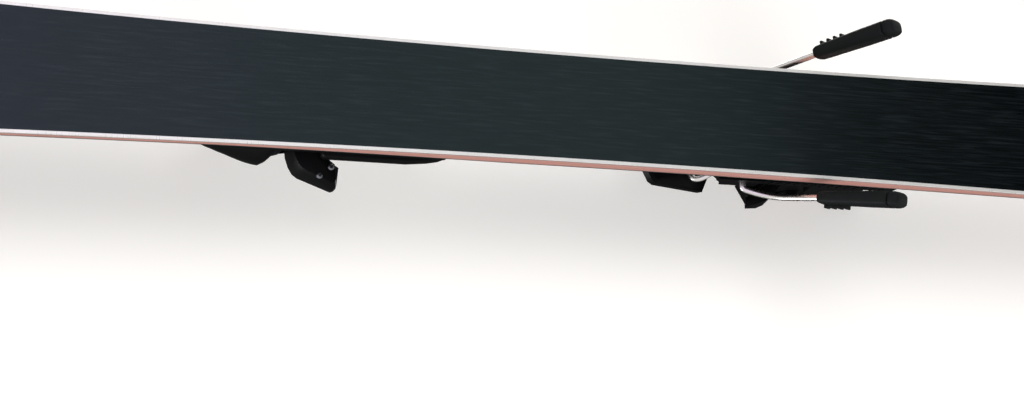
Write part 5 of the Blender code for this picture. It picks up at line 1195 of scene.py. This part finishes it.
def make_camera():
    data = bpy.data.cameras.new("photo_camera")
    data.sensor_width = SENSOR_WIDTH_MM
    data.lens = FOCAL_PIXELS * SENSOR_WIDTH_MM / PHOTO_WIDTH_PIXELS
    data.clip_start = 0.01
    camera = put_in_scene("photo_camera", data)
    bpy.context.scene.camera = camera
    turn = (Matrix.Rotation(CAMERA_ROLL, 3, "Z") @ Matrix.Rotation(CAMERA_YAW, 3, "Y")
            @ Matrix.Rotation(CAMERA_PITCH, 3, "X"))
    right, up, forward = turn @ Matrix(((-1, 0, 0), (0, 1, 0), (0, 0, 1)))
    pose = Matrix((right, up, -forward)).transposed().to_4x4()
    pose.translation = Vector(CAMERA_PLACE)
    camera.matrix_world = pose


def background(tree, colour, strength=1.0):
    return add_node(tree, "Background", {"Color": colour, "Strength": strength}).outputs[0]


def mirrored_room(tree):
    """What shiny sides see of the room: pale below, darker towards the tail and above."""
    place = add_node(tree, "TexCoord").outputs["Generated"]
    direction = add_node(tree, "SeparateXYZ", {0: place})
    along, up = direction.outputs[0], direction.outputs[2]
    towards_tail = ramp(tree, along, -0.425, -0.385, 1.0, 0.0)
    towards_tip = ramp(tree, along, -0.20, -0.03, 0.0, 1.0)
    downward = ramp(tree, up, -0.80, -0.45, 1.0, 0.0)
    low_down = ramp(tree, up, -0.66, -0.40, 1.0, 0.0)
    upward = ramp(tree, up, 0.30, 0.60, 0.0, 1.0)
    shadowed = math_node(tree, "MULTIPLY", towards_tail, low_down)
    below = mix_colour(tree, towards_tip, (0.60, 0.67, 0.66), (0.98, 0.86, 1.10))
    room = mix_colour(tree, downward, (0.75, 0.75, 0.74), below)
    room = mix_colour(tree, shadowed, room, (0.012, 0.012, 0.012))
    return mix_colour(tree, upward, room, (0.05, 0.05, 0.05))


def make_world():
    """White to the camera, an even light on the object, and what its shiny sides mirror."""
    world = bpy.data.worlds.new("studio")
    bpy.context.scene.world = world
    world.use_nodes = True
    tree = world.node_tree
    tree.nodes.clear()
    rays = add_node(tree, "LightPath").outputs
    mirror = background(tree, mirrored_room(tree))
    even = background(tree, (1.0, 0.99, 0.975, 1.0), 0.45)
    white = background(tree, (1.0, 1.0, 1.0, 1.0))
    seen = math_node(tree, "MAXIMUM", rays["Is Glossy Ray"], rays["Is Transmission Ray"])
    lit = add_node(tree, "MixShader", {0: seen, 1: even, 2: mirror}).outputs[0]
    final = add_node(tree, "MixShader", {0: rays["Is Camera Ray"], 1: lit, 2: white})
    add_node(tree, "OutputWorld", {0: final.outputs[0]})


def stage_material(name, colour, glow):
    """Pale board seen from its front only; from behind it is clear."""
    material, tree = new_material(name)
    tree.nodes.clear()
    board = add_node(tree, "BsdfDiffuse", {"Color": (*colour, 1.0)})
    camera_ray = add_node(tree, "LightPath").outputs["Is Camera Ray"]
    strength = math_node(tree, "MULTIPLY", camera_ray, glow)
    light = add_node(tree, "Emission", {"Color": (1.0, 0.995, 0.985, 1.0), "Strength": strength})
    front = add_node(tree, "AddShader", {0: board.outputs[0], 1: light.outputs[0]})
    back = add_node(tree, "BsdfTransparent")
    facing = add_node(tree, "NewGeometry").outputs["Backfacing"]
    final = add_node(tree, "MixShader", {0: facing, 1: front.outputs[0], 2: back.outputs[0]})
    add_node(tree, "OutputMaterial", {0: final.outputs[0]})
    return material


def make_board(name, size, height, facing_up, material, centre=(0.0, 0.0)):
    half = size / 2
    mesh = bpy.data.meshes.new(name)
    corners = [(-half, -half), (half, -half), (half, half), (-half, half)]
    points = [(centre[0] + x, centre[1] + y, height) for x, y in corners]
    mesh.from_pydata(points, [], [(0, 1, 2, 3) if facing_up else (3, 2, 1, 0)])
    mesh.materials.append(material)
    board = put_in_scene(name, mesh)
    for rays in ("diffuse", "glossy", "transmission", "shadow"):
        setattr(board, "visible_" + rays, False)


def make_stage():
    """Floor below the ski, and a table above it that the photo's camera sees behind it."""
    low, high = CAD_BOX
    floor = stage_material("pale_floor", (0.52, 0.52, 0.515), 0.44)
    table = stage_material("pale_table", (0.80, 0.785, 0.77), 0.30)
    make_board("floor", FLOOR_SIZE, low.z - FLOOR_DROP, True, floor)
    make_board("table", TABLE_SIZE, high.z + TABLE_RISE, False, table, TABLE_CENTRE)


def make_lamp(name, place, size, power, colour, target_z=0.0, mirrored=True):
    data = bpy.data.lights.new(name, "AREA")
    data.shape = "SQUARE"
    data.size = size
    data.energy = power
    data.color = colour
    lamp = put_in_scene(name, data)
    lamp.location = place
    lamp.visible_glossy = mirrored
    aim = Vector((0.0, 0.0, target_z)) - Vector(place)
    lamp.rotation_euler = aim.to_track_quat("-Z", "Y").to_euler()


def make_lamps():
    make_lamp("lower_key", place=(0.30, 0.60, -1.90), size=0.9, power=24.0, colour=(1.0, 0.985, 0.96),
              target_z=0.05, mirrored=False)
    make_lamp("lower_fill", place=(-0.60, -1.90, -0.90), size=1.4, power=22.0, colour=(1.0, 0.99, 0.98),
              target_z=0.05, mirrored=False)
    make_lamp("upper_key", place=(-0.90, 1.60, 2.10), size=2.4, power=56.0, colour=(1.0, 0.99, 0.97))
    make_lamp("upper_fill", place=(2.40, -1.90, 1.70), size=1.6, power=52.0, colour=(0.97, 0.98, 1.0))


paint_remaining_nodes()
make_ski()
make_refined()
make_pins_and_screws()
make_springs()
make_toe_piece()
make_heel_piece()
make_brake()
make_camera()
make_world()
make_stage()
make_lamps()
bpy.context.scene.view_settings.view_transform = "Standard"
